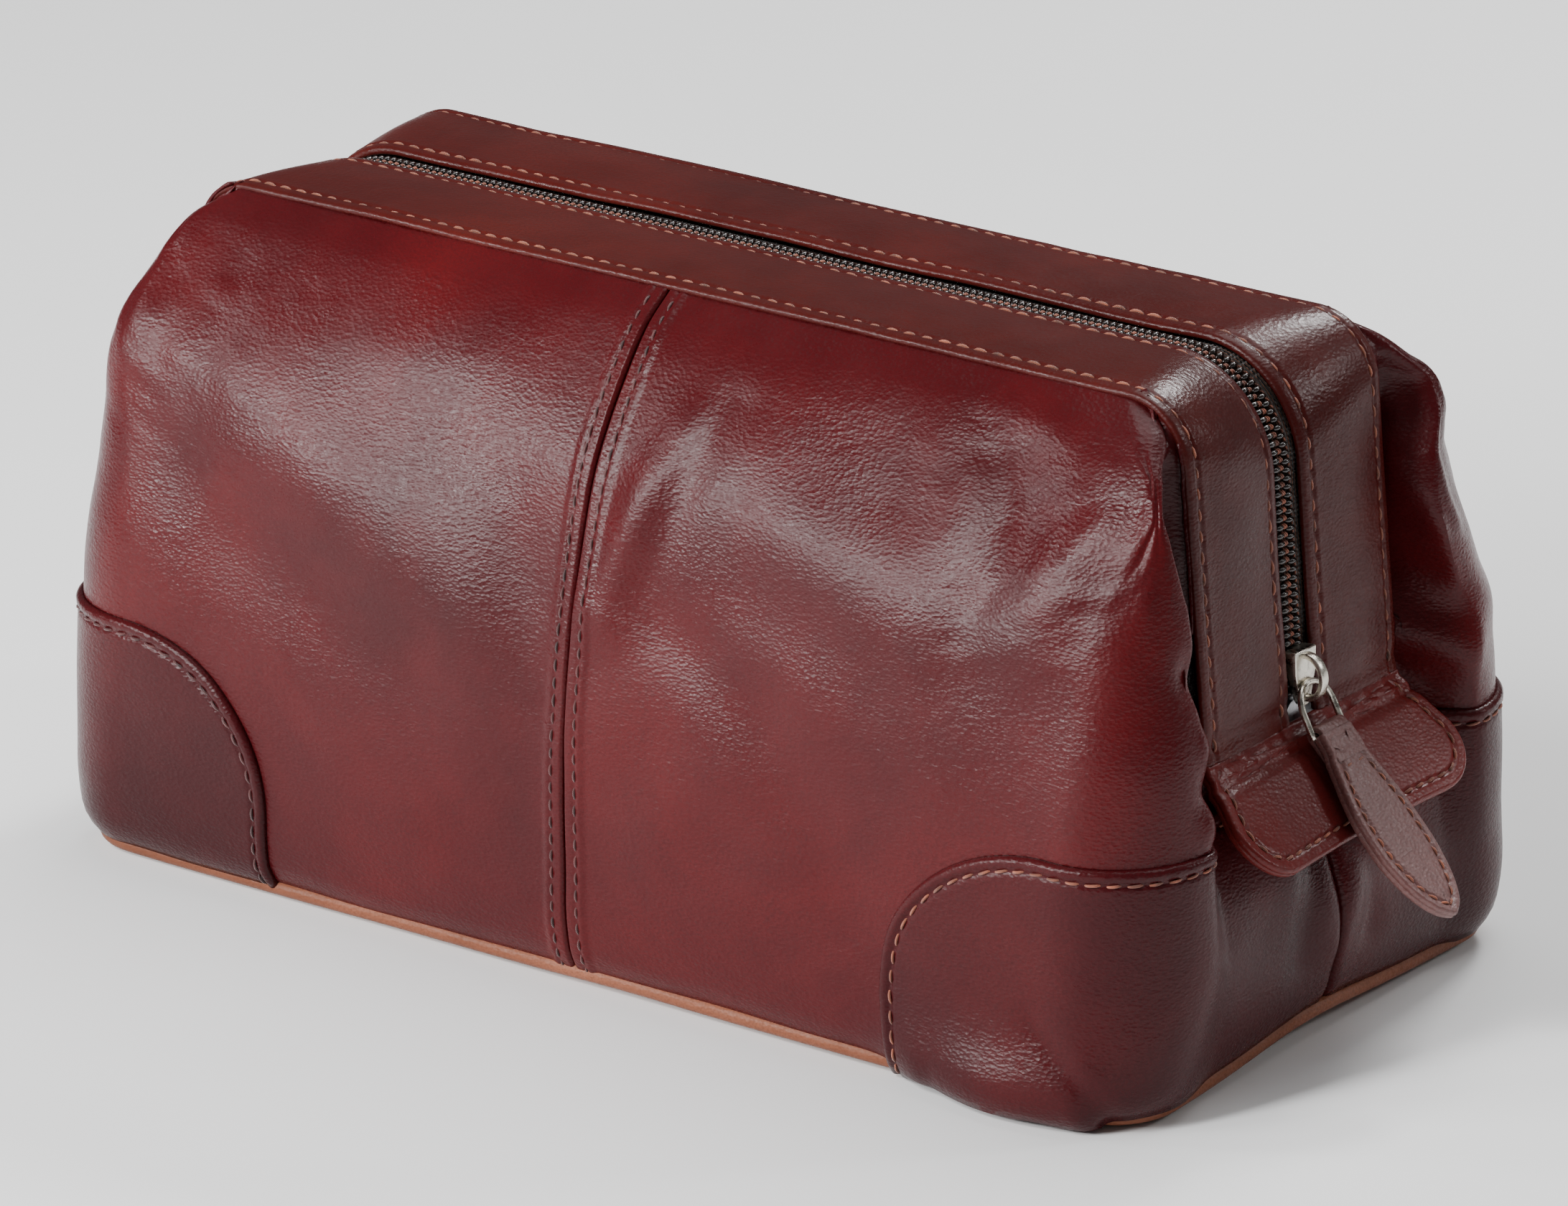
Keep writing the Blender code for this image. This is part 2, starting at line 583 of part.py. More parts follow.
def make_pull():
    """The wire loop through the bail, and the leather puller folded round its bar."""
    down = (PULLER_PIVOT - LOOP_PIVOT).normalized()
    reach = (PULLER_PIVOT - LOOP_PIVOT).length
    across = Vector((0, 1, 0))
    half_width = LOOP_HALF_WIDTH
    points = []
    for x, y in arc((0, half_width), half_width, 180, 360, 12):
        points.append(LOOP_PIVOT + across * x + down * y)
    points += [PULLER_PIVOT + across * half_width, PULLER_PIVOT - across * half_width]
    flat = [points[0] + (points[-1] - points[0]) * 0.5]
    adopt(wire("pull_loop", points + flat, LOOP_WIRE, True), "pull_loop", "nickel")
    frame = leaning_frame(PULLER_PIVOT, 1)
    half = PULLER_HALF_OUTLINE
    outline = half + [(0.0, PULLER_LENGTH)] + [(-x, y) for x, y in reversed(half)]
    puller = plate("puller", outline, PULLER_THICKNESS, frame)
    for label, radius, length, operation in (
            ("fold", PULLER_FOLD_RADIUS, 2 * FOLD_HALF_WIDTH, "UNION"),
            ("bore", PULLER_BORE_RADIUS, 4 * FOLD_HALF_WIDTH, "DIFFERENCE")):
        tube = rod(label, (0, 0, 0), radius, length, 16)
        tube.data.transform(Matrix.Translation(PULLER_PIVOT) @ Matrix.Rotation(math.pi / 2, 4, "Z"))
        combine(puller, tube, operation)
    adopt(puller, "leather_puller", "burgundy")


def main():
    cutter = notch("leg_notch")
    make_panels(cutter)
    make_linings(cutter)
    make_patches()
    make_base()
    make_tabs()
    make_facings()
    make_frames()
    make_rivets()
    make_zip()
    make_slider()
    make_pull()


main()
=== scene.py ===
"""Looks of the framed leather shaving kit bag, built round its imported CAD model.

Metres, +Z up.  The body is one skin function: the distance along its outline and the height give
a point, and folds and seams are sculpted into that.  The facings, zip and frames follow an
inverted U.  Each sewn line is made of single stitches, and leather edges are turned or cut.
"""
import itertools
import json
import math

import bmesh
import bpy
import numpy as np
from mathutils import Matrix, Vector


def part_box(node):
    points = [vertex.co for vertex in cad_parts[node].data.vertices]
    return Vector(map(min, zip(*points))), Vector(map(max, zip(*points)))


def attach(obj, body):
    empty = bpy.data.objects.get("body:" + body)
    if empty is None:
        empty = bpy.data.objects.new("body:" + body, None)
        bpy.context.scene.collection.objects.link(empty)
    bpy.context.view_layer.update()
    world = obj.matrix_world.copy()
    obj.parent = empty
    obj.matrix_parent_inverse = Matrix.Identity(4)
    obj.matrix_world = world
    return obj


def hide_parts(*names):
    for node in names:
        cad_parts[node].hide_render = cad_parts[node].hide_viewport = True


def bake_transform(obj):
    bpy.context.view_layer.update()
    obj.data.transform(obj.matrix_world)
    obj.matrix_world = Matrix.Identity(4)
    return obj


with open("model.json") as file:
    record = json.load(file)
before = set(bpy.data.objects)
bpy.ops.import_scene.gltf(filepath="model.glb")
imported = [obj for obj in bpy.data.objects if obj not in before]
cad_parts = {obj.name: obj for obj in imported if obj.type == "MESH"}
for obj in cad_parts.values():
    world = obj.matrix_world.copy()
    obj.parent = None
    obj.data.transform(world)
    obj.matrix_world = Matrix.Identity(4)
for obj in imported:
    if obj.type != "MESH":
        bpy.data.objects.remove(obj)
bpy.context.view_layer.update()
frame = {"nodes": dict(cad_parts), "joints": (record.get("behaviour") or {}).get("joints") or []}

JOINTS = {joint["name"]: joint for joint in frame["joints"]}

# ---- Driving dimensions, from the frame where it holds them ----
HINGE_Z = JOINTS["front_mouth_hinge"]["pos_m"][2]
LOOP_PIVOT = np.array(JOINTS["loop_swing"]["pos_m"])
PULLER_PIVOT = np.array(JOINTS["puller_swing"]["pos_m"])
FACING_LOW, FACING_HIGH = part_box("front_facing")
FACING_CROWN = 0.0004
TOP_Z = FACING_HIGH.z - FACING_CROWN
FACING_OUTER_Y = -FACING_LOW.y
FACING_INNER_Y = -FACING_HIGH.y
_, BASE_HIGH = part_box("base_panel")
ARCH_HALF_TOP, ARCH_HALF_FOOT = 0.1209, 0.1273
OUTER_RADIUS, ZIP_RADIUS = 0.014, 0.025
LEAN_RISE = 0.0034              # the top stands this much higher at the left end
LEATHER = 0.0013
NOTCH_Z = HINGE_Z - 0.0018      # the end of the body stops here, behind the tab
TUCK_Y = FACING_OUTER_Y - 0.0003
FACING_THICKNESS = 0.0017

# Upright profile: height, half width, half length of the bulging corner, and half length at the
# middle of the end or in the valley beside a facing's leg.
PROFILE = np.array([
    (0.0012, 0.0638, 0.1308, 0.1290),
    (0.0040, 0.0668, 0.1338, 0.1318),
    (0.0090, 0.0687, 0.1357, 0.1335),
    (0.0200, 0.0699, 0.1370, 0.1345),
    (0.0360, 0.0701, 0.1373, 0.1330),
    (0.0500, 0.0697, 0.1373, 0.1275),
    (0.0600, 0.0689, 0.1372, 0.1222),
    (0.0700, 0.0675, 0.1366, 0.1222),
    (0.0850, 0.0641, 0.1343, 0.1188),
    (0.1000, 0.0590, 0.1318, 0.1178),
    (0.1130, 0.0523, 0.1284, 0.1170),
    (0.1220, 0.0460, 0.1238, 0.1176),
    (0.1260, 0.0427, 0.1206, 0.1188),
    (0.1290, 0.0398, 0.1179, 0.1168),
    (0.1340, 0.0328, 0.1100, 0.1096),
])
LOW_RADII = [(0.0012, 0.0130), (0.0040, 0.0145), (0.0090, 0.0160), (0.0200, 0.0190),
             (0.0360, 0.0215)]
# Corner radius by height: each corner is round below and folds to its own ridge above.  The heights
# of the two right corners came from a measuring program, not from a design rule.
CORNER_RADII = {
    "front_left": [(0.055, 0.0230), (0.075, 0.0225), (0.093, 0.0168), (0.108, 0.0095), (0.119, 0.0078),
                   (0.126, 0.0040), (0.134, 0.0012)],
    "front_right": [(0.060, 0.0205), (0.075, 0.0180), (0.088, 0.0158), (0.0984, 0.0125), (0.1033, 0.0098),
                    (0.1127, 0.0042), (0.118, 0.0016), (0.1235, 0.0018), (0.128, 0.0045), (0.134, 0.0030)],
    "back_left": [(0.055, 0.0225), (0.078, 0.0210), (0.095, 0.0160), (0.110, 0.0080), (0.120, 0.0030),
                  (0.134, 0.0010)],
    "back_right": [(0.0641, 0.0222), (0.0729, 0.0198), (0.0815, 0.0220), (0.0953, 0.0215), (0.1057, 0.0172),
                   (0.1100, 0.0120), (0.1140, 0.0062), (0.1204, 0.0014), (0.134, 0.0010)],
}
FOOT_Z, RIM_Z = PROFILE[0, 0], PROFILE[-1, 0]

# Distances along a quarter's outline: where the corner starts and ends, where the facing's leg
# covers the panel, and the middle of the end.
CORNER_START, CORNER_END, TUCK_S, END_S = 0.1165, 0.1485, 0.1665, 0.1970

QUARTERS = {"front_left": (-1, -1), "front_right": (1, -1), "back_left": (-1, 1), "back_right": (1, 1)}

# Soft folds in each quarter's skin: from (s, z) to (s, z), width, and height outwards.
SHARED_FOLDS = [
    ((0.176, 0.050), (0.1975, 0.020), 0.0075, 0.0030),
    ((0.190, 0.046), (0.186, 0.018), 0.0040, -0.0016),
]
FOLDS = {
    "front_left": SHARED_FOLDS + [
        ((0.118, 0.112), (0.030, 0.074), 0.017, 0.0024),
        ((0.070, 0.114), (0.012, 0.122), 0.011, 0.0011),
        ((0.100, 0.086), (0.040, 0.058), 0.013, -0.0016),
        ((0.106, 0.1085), (0.124, 0.111), 0.008, 0.0014),
        ((0.020, 0.096), (0.006, 0.060), 0.009, -0.0012),
        ((0.146, 0.078), (0.158, 0.083), 0.0060, -0.0024),
    ],
    "front_right": SHARED_FOLDS + [
        ((0.0180, 0.112), (0.0075, 0.080), 0.0065, 0.0028),
        ((0.0260, 0.119), (0.0150, 0.090), 0.0050, -0.0012),
        ((0.030, 0.107), (0.092, 0.090), 0.0120, 0.0028),
        ((0.072, 0.120), (0.094, 0.097), 0.0075, 0.0013),
        ((0.015, 0.083), (0.046, 0.066), 0.0080, -0.0015),
        ((0.046, 0.066), (0.076, 0.024), 0.0100, -0.0013),
        ((0.0850, 0.121), (0.093, 0.086), 0.0085, -0.0017),
        ((0.1040, 0.119), (0.106, 0.094), 0.0095, 0.0026),
        ((0.146, 0.088), (0.160, 0.083), 0.0040, -0.0022),
        ((0.152, 0.074), (0.163, 0.0745), 0.0034, 0.0026),
        ((0.150, 0.0655), (0.166, 0.0685), 0.0030, -0.0020),
        ((0.150, 0.058), (0.170, 0.0600), 0.0040, 0.0024),
        ((0.086, 0.0052), (0.119, 0.0062), 0.0088, 0.0058),
        ((0.112, 0.020), (0.128, 0.0040), 0.0028, -0.0012),
    ],
    "back_left": SHARED_FOLDS + [
        ((0.110, 0.108), (0.040, 0.080), 0.014, 0.0020),
        ((0.090, 0.090), (0.030, 0.062), 0.012, -0.0014),
        ((0.124, 0.116), (0.140, 0.102), 0.006, 0.0016),
        ((0.146, 0.078), (0.158, 0.083), 0.0060, -0.0026),
    ],
    "back_right": SHARED_FOLDS + [
        ((0.025, 0.100), (0.086, 0.086), 0.013, 0.0021),
        ((0.060, 0.112), (0.100, 0.100), 0.009, -0.0013),
        ((0.116, 0.121), (0.132, 0.117), 0.0060, 0.0013),
        ((0.155, 0.119), (0.150, 0.092), 0.0022, 0.0012),
        ((0.149, 0.114), (0.144, 0.092), 0.0022, 0.0010),
        ((0.165, 0.086), (0.1500, 0.0795), 0.0050, -0.0020),
        ((0.165, 0.073), (0.1500, 0.0660), 0.0052, 0.0021),
    ],
}

# Sewing
SEAM_ROW_S, SEAM_PITCH = 0.0030, 0.0036
FACING_ROW, FACING_PITCH, FACING_RIM = 0.0030, 0.0041, 0.00085
PATCH_ROW, PATCH_PITCH = 0.0030, 0.0040
THREAD = 0.00030

# Corner patches
PATCH_START, PATCH_TOP, PATCH_ARC = 0.0755, 0.0538, (0.040, 0.037)
PATCH_THICKNESS = 0.0013

# Lining
LINING_RADIUS = 0.012

# Zip
TOOTH_PITCH, TOOTH_Y, TOOTH_DEPTH = 0.00165, 0.00175, 0.0020
TAPE_DEPTH = 0.0029
SLIDER_BOTTOM, SLIDER_TOP = 0.0027, 0.0137

# Tab and puller
TAB_LENGTH, TAB_FLARE, TAB_THICKNESS, LEAN_ANGLE = 0.0255, 0.0042, 0.0030, math.radians(42)
PULLER_LENGTH, PULLER_THICKNESS = 0.0429, 0.0027
PULLER_ROW, PULLER_TOP_ROW = 0.0021, 0.0078
OUTLINE_STEP = 0.0011           # even steps along the tab's outline


# ---- Small maths ----
def smooth(t):
    t = np.clip(t, 0.0, 1.0)
    return t * t * (3 - 2 * t)


def lerp(a, b, t):
    return a + (b - a) * t


def unit(vectors):
    return vectors / np.maximum(np.linalg.norm(vectors, axis=-1, keepdims=True), 1e-12)


def noise3(points, scale, seed):
    """Smooth value noise from -1 to 1, with cells of 1 / scale metres."""
    p = np.asarray(points) * scale + 31.7 * seed
    cell = np.floor(p).astype(np.int64)
    part = smooth(p - cell)
    total = np.zeros(p.shape[:-1])
    for corner in itertools.product((0, 1), repeat=3):
        c = cell + np.array(corner)
        h = (c[..., 0] * 73856093) ^ (c[..., 1] * 19349663) ^ (c[..., 2] * 83492791)
        for _ in range(2):
            h = (h * 1103515245 + 12345) & 0x7FFFFFFF
            h ^= h >> 13
        weight = np.prod(np.where(np.array(corner) == 1, part, 1 - part), axis=-1)
        total += weight * ((h & 0xFFFFF) / 0x7FFFF - 1.0)
    return total


def crowded(stops):
    """A rising list through (value, spacing) stops: the spacing holds up to the value."""
    values = [stops[0][0]]
    for (low, _), (high, spacing) in zip(stops, stops[1:]):
        count = max(1, round((high - low) / spacing))
        values += [lerp(low, high, (i + 1) / count) for i in range(count)]
    return np.array(values)


def hermite(x, knots, values):
    """A smooth curve through the knots, without overshoot."""
    steps = np.diff(knots)
    slopes = np.diff(values) / steps
    tangent = np.zeros(len(knots))
    same = slopes[:-1] * slopes[1:] > 0
    harmonic = 2 * slopes[:-1] * slopes[1:] / np.where(same, slopes[:-1] + slopes[1:], 1.0)
    tangent[1:-1] = np.where(same, harmonic, 0.0)
    tangent[0], tangent[-1] = slopes[0], slopes[-1]
    i = np.clip(np.searchsorted(knots, x) - 1, 0, len(knots) - 2)
    t = np.clip((x - knots[i]) / steps[i], 0.0, 1.0)
    h = steps[i]
    return ((2 * t**3 - 3 * t**2 + 1) * values[i] + (t**3 - 2 * t**2 + t) * h * tangent[i]
            + (3 * t**2 - 2 * t**3) * values[i + 1] + (t**3 - t**2) * h * tangent[i + 1])


# ---- Meshes ----
def mesh_object(name, points, faces, smooth_angle=50):
    mesh = bpy.data.meshes.new(name)
    mesh.from_pydata(np.asarray(points).reshape(-1, 3).tolist(), [], faces)
    mesh.validate()
    obj = bpy.data.objects.new(name, mesh)
    bpy.context.scene.collection.objects.link(obj)
    mesh.shade_smooth()
    mesh.set_sharp_from_angle(angle=math.radians(smooth_angle))
    return obj


def grid_faces(rows, columns, around=False, keep=None):
    """Quads of a grid of points. around closes each row, and keep says which cells stay."""
    faces = []
    last = columns if around else columns - 1
    for i in range(rows - 1):
        for j in range(last):
            if keep is None or keep[i, j]:
                k = (j + 1) % columns
                faces.append((i * columns + j, i * columns + k, (i + 1) * columns + k,
                              (i + 1) * columns + j))
    return faces


def face_outwards(obj, middle=(0.0, 0.0, 0.06)):
    """Turns the faces so that most of them look away from a point inside."""
    mesh = obj.data
    count = len(mesh.polygons)
    normals, centres = np.zeros(count * 3), np.zeros(count * 3)
    mesh.polygons.foreach_get("normal", normals)
    mesh.polygons.foreach_get("center", centres)
    away = centres.reshape(-1, 3) - np.array(middle)
    if (normals.reshape(-1, 3) * away).sum() < 0:
        mesh.flip_normals()
    return obj


def sheet_object(name, points, thickness, keep=None):
    """An open grid, thickened inwards."""
    rows, columns = points.shape[:2]
    obj = mesh_object(name, points, grid_faces(rows, columns, keep=keep))
    face_outwards(obj)
    solid = obj.modifiers.new("thickness", "SOLIDIFY")
    solid.thickness = thickness
    solid.offset = -1.0
    return obj


def tube_object(name, rings):
    """Rings of points (ring, point around, xyz) joined into a closed body."""
    rings = np.asarray(rings)
    count, around = rings.shape[:2]
    faces = grid_faces(count, around, around=True)
    faces.append(tuple(range(around))[::-1])
    faces.append(tuple((count - 1) * around + i for i in range(around)))
    obj = mesh_object(name, rings, faces)
    clean(obj)
    return obj


def clean(obj, turn_faces=True):
    """Drops points that no face uses, and turns the faces outwards."""
    bm = bmesh.new()
    bm.from_mesh(obj.data)
    loose = [v for v in bm.verts if not v.link_faces]
    bmesh.ops.delete(bm, geom=loose, context="VERTS")
    if turn_faces:
        bmesh.ops.recalc_face_normals(bm, faces=bm.faces)
    bm.to_mesh(obj.data)
    bm.free()


def closed_wire(name, path, radius, sides=12):
    """A round wire along a closed path."""
    tangent = unit(np.roll(path, -1, 0) - np.roll(path, 1, 0))
    side = unit(np.cross(tangent, np.array([0.31, 0.87, 0.38])))
    up = np.cross(side, tangent)
    angle = np.linspace(0, 2 * math.pi, sides, endpoint=False)
    rings = path[:, None] + radius * (np.cos(angle)[None, :, None] * side[:, None]
                                      + np.sin(angle)[None, :, None] * up[:, None])
    faces = grid_faces(len(path), sides, around=True)
    last = (len(path) - 1) * sides
    faces += [(last + j, last + (j + 1) % sides, (j + 1) % sides, j) for j in range(sides)]
    obj = mesh_object(name, rings, faces)
    clean(obj)
    return obj


def swept_strap(name, path, normals, half_widths, half_thickness, across):
    """A strap of rounded rectangular section along a path."""
    corner = 0.45 * half_thickness
    outline = []
    for sy, sz, start in ((1, 1, 0), (-1, 1, 90), (-1, -1, 180), (1, -1, 270)):
        for a in np.radians(np.linspace(start, start + 90, 4)):
            outline.append((sy, sz, corner * math.cos(a), corner * math.sin(a)))
    rings = []
    for place, normal, half in zip(path, normals, half_widths):
        ring = [place + across * (sy * (half - corner) + dy)
                + normal * (sz * (half_thickness - corner) + dz) for sy, sz, dy, dz in outline]
        rings.append(ring)
    return tube_object(name, rings)


# ---- Stitches ----
def stitch_template():
    """A short thread that dips at both ends: (along, around) points, half a unit long."""
    along = np.array([-0.5, -0.43, -0.22, 0.0, 0.22, 0.43, 0.5])
    radius = np.array([0.25, 0.8, 1.0, 1.05, 1.0, 0.8, 0.25])
    sink = 1.9 * (2 * np.abs(along)) ** 2.5
    return along, radius, sink


def stitches(name, runs, pitch, thread=THREAD, share=0.80, slant=0.10, seed=1):
    """Single stitches laid along runs of (points, normals); one object holds them all."""
    along, radius, sink = stitch_template()
    sides = 6
    angle = np.linspace(0, 2 * math.pi, sides, endpoint=False)
    random = np.random.default_rng(seed)
    points, faces = [], []
    for path, normals in runs:
        length = np.concatenate([[0], np.cumsum(np.linalg.norm(np.diff(path, axis=0), axis=1))])
        count = max(1, int(length[-1] / pitch))
        for k in range(count):
            centre_s = (k + 0.5) * length[-1] / count
            middle, ahead, normal = [np.array([np.interp(q, length, v[:, a]) for a in range(3)])
                                     for q, v in ((centre_s, path), (centre_s + 0.0004, path),
                                                  (centre_s, normals))]
            if np.linalg.norm(ahead - middle) < 1e-9:
                continue
            forward = unit(ahead - middle)
            normal = unit(normal - forward * (normal @ forward))
            side = np.cross(normal, forward)
            forward = unit(forward + side * (slant + random.uniform(-0.05, 0.05)))
            side = np.cross(normal, forward)
            long = pitch * share * random.uniform(0.93, 1.05)
            lift = thread * random.uniform(0.15, 0.45)
            first = len(points)
            for a, r, drop in zip(along, radius, sink):
                ring = middle + forward * (a * long) + normal * (lift - drop * thread)
                for t in angle:
                    points.append(ring + thread * r * (math.cos(t) * side + math.sin(t) * normal))
            rows = len(along)
            faces += [tuple(first + i for i in face) for face in grid_faces(rows, sides, True)]
            faces.append(tuple(first + i for i in range(sides))[::-1])
            faces.append(tuple(first + (rows - 1) * sides + i for i in range(sides)))
    return mesh_object(name, np.array(points), faces, 80)


# ---- The inverted U ----
ARCH_FOOT = np.array([ARCH_HALF_FOOT, HINGE_Z])
ARCH_CORNER = np.array([ARCH_HALF_TOP, TOP_Z])
LEG_UP = unit(ARCH_CORNER - ARCH_FOOT)
LEG_IN = np.array([-LEG_UP[1], LEG_UP[0]])
ARCH_TURN = math.acos(-LEG_UP[0])


def lean(points):
    """Lifts the top towards the left end."""
    lifted = np.array(points, float)
    share = np.clip((0.115 - lifted[..., 0]) / 0.23, 0, 1)
    lifted[..., 2] += LEAN_RISE * share * smooth((lifted[..., 2] - 0.085) / 0.045)
    return lifted


def arch_line(y, depth, start=0.0, leg_steps=56, arc_steps=30, top_steps=90):
    """A line over the U at one y and one depth below its face, right foot to left foot."""
    radius = lerp(ZIP_RADIUS, OUTER_RADIUS, min(abs(y) / FACING_OUTER_Y, 1.0))
    reach = radius * math.tan(ARCH_TURN / 2)
    leg_end = ARCH_CORNER - LEG_UP * reach
    centre = leg_end + LEG_IN * radius
    leg_length = np.linalg.norm(leg_end - ARCH_FOOT)
    heights = lerp(start, leg_length, np.arange(leg_steps) / leg_steps)
    leg = ARCH_FOOT + LEG_UP * heights[:, None] + LEG_IN * depth
    turn = ARCH_TURN * np.arange(arc_steps + 1) / arc_steps
    out = -LEG_IN
    turned = np.stack([out[0] * np.cos(turn) - out[1] * np.sin(turn),
                       out[0] * np.sin(turn) + out[1] * np.cos(turn)], -1)
    arc = centre + turned * (radius - depth)
    run = arc[-1]
    top = np.stack([lerp(run[0], 0.0, np.arange(1, top_steps + 1) / top_steps),
                    np.full(top_steps, run[1])], -1)
    half = np.vstack([leg, arc, top])
    whole = np.vstack([half, half[-2::-1] * np.array([-1, 1])])
    line = np.stack([whole[:, 0], np.full(len(whole), y), whole[:, 1]], -1)
    return lean(line)


def arch_normals(y, depth=0.0, **steps):
    """Outward directions along such a line."""
    outer = arch_line(y, depth - 0.001, **steps)
    return unit(outer - arch_line(y, depth, **steps))


# ---- The body's skin ----
def arch_x(z):
    """How far out the facings' face is at a height."""
    reach = OUTER_RADIUS * math.tan(ARCH_TURN / 2)
    leg_end = ARCH_CORNER - LEG_UP * reach
    centre = leg_end + LEG_IN * OUTER_RADIUS
    on_leg = ARCH_HALF_FOOT - (z - HINGE_Z) * LEG_UP[0] / -LEG_UP[1]
    on_arc = centre[0] + np.sqrt(np.clip(OUTER_RADIUS**2 - np.clip(z - centre[1], 0, None)**2, 0, None))
    return np.where(z > leg_end[1], on_arc, on_leg)


def section_values(z, quarter):
    width, length, end = [hermite(z, PROFILE[:, 0], PROFILE[:, k]) for k in range(1, 4)]
    radii = np.array(LOW_RADII + CORNER_RADII[quarter])
    return width, length, end, hermite(z, radii[:, 0], radii[:, 1])


def plain_skin(s, z, quarter):
    """The quarter's outline before sculpting, as (x, distance from the middle plane, z)."""
    width, length, end, radius = section_values(z, quarter)
    front_t = np.clip(s / CORNER_START, 0, 1)
    turn = np.clip((s - CORNER_START) / (CORNER_END - CORNER_START), 0, 1) * math.pi / 2
    x = np.where(s <= CORNER_START, front_t * (length - radius), length - radius + radius * np.sin(turn))
    y = width - radius + radius * np.cos(turn)
    side = np.clip((s - CORNER_END) / (TUCK_S - CORNER_END), 0, 1)
    middle = np.clip((s - TUCK_S) / (END_S - TUCK_S), 0, 1)
    past = s > CORNER_END
    steep = smooth((z - 0.070) / 0.025)
    y = np.where(past, lerp(width - radius, TUCK_Y, lerp(side, np.minimum(side / 0.90, 1.0), steep)), y)
    y = np.where(s > TUCK_S, lerp(TUCK_Y, 0.0, middle), y)
    inwards = smooth(side / lerp(0.74, 0.46, steep))
    x = np.where(past, lerp(length, end, inwards), x)
    sewn = np.maximum(arch_x(z) - FACING_THICKNESS, end)
    x = np.where(s > CORNER_END, lerp(x, sewn, steep * smooth((side - 0.60) / 0.34)), x)
    return x, y, z + 0.0 * s


def seam_relief(s, z):
    """The butt seam on the middle plane: turned allowances, the joint and the needle rows."""
    allowance = 0.0004 * smooth((0.0056 - s) / 0.0020)
    joint = -0.0009 * np.exp(-(s / 0.00042) ** 2)
    pucker = 0.5 + 0.5 * np.cos(2 * math.pi * z / SEAM_PITCH)
    row = -(0.00010 + 0.00026 * pucker) * np.exp(-((s - SEAM_ROW_S) / 0.00045) ** 2)
    gather = 0.00016 * pucker * np.exp(-((s - SEAM_ROW_S - 0.0014) / 0.0010) ** 2)
    return allowance + joint + row + gather


def end_seam_relief(s):
    return -0.0011 * np.exp(-((END_S - s) / 0.0009) ** 2)


def sculpt(s, z, quarter, place):
    height = seam_relief(s, z) + end_seam_relief(s)
    for (s0, z0), (s1, z1), width, amount in FOLDS[quarter]:
        a, b = np.array([s0, z0]), np.array([s1, z1])
        along = np.clip(((s - s0) * (b - a)[0] + (z - z0) * (b - a)[1]) / ((b - a) @ (b - a)), 0, 1)
        away = np.hypot(s - lerp(s0, s1, along), z - lerp(z0, z1, along))
        fade = 0.55 + 0.45 * np.sin(math.pi * np.clip(along, 0.05, 0.95))
        height = height + amount * fade * np.exp(-(away / width) ** 2)
    free = smooth((z - 0.010) / 0.02) * smooth((RIM_Z - z) / 0.012)
    height = height + free * (0.0010 * noise3(place, 26, 3) + 0.00045 * noise3(place, 62, 5))
    stretched = np.stack([s * 150 + z * 40, z * 320 - s * 90, 0 * s], -1)
    near_frame = smooth((z - 0.075) / 0.03) * smooth((s - 0.05) / 0.05)
    height = height + free * near_frame * 0.00022 * noise3(stretched, 1.0, 9)
    foot = smooth((0.014 - z) / 0.012)
    return height + foot * 0.0006 * noise3(place, 45, 12)


def end_rise(x, y):
    """How far the base's edge and the skin's foot stand up at the middle of each end."""
    return 0.0030 * np.exp(-(y / 0.030) ** 2) * smooth((np.abs(x) - 0.112) / 0.018)


def skin_place(s, z, quarter):
    x_sign, y_sign = QUARTERS[quarter]
    x, y, height = plain_skin(s, z, quarter)
    return np.stack([x_sign * x, y_sign * y, height], -1)


def skin(s, z, quarter, offset=0.0):
    """Points of the sculpted skin, and their outward directions."""
    s, z = np.broadcast_arrays(np.asarray(s, float), np.asarray(z, float))
    step = 0.0004
    place = skin_place(s, z, quarter)
    along = skin_place(s + step, z, quarter) - skin_place(s - step, z, quarter)
    along[s < 2 * step] = np.array([QUARTERS[quarter][0], 0, 0])
    upwards = skin_place(s, z + step, quarter) - skin_place(s, z - step, quarter)
    normal = unit(np.cross(along, upwards)) * -QUARTERS[quarter][0] * QUARTERS[quarter][1]
    at_end = smooth((s - TUCK_S) / (END_S - TUCK_S) * 1.2)[..., None]
    normal = unit(lerp(normal, np.array([QUARTERS[quarter][0], 0, 0.0]), at_end))
    height = sculpt(s, z, quarter, place) + offset
    moved = place + normal * np.asarray(height)[..., None]
    rise = end_rise(moved[..., 0], moved[..., 1]) * smooth((0.045 - z) / 0.045)
    moved[..., 2] = np.maximum(moved[..., 2], 0.0006) + rise
    near_end = QUARTERS[quarter][1] * np.abs(moved[..., 1])
    moved[..., 1] = np.where(s > 0.98 * END_S, near_end, moved[..., 1])
    return lean(moved), normal


def bend_with_mouth(obj):
    """Only bakes the placement into the mesh; the bend between the body below the crease and the mouth at the
    frame is not made here.
    """
    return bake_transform(obj)


def bend_leg(obj):
    """Only bakes the placement into the mesh; the facings stay sewn to the tab at the crease, and their turn
    with the frame 20 mm above it is not made here.
    """
    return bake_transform(obj)


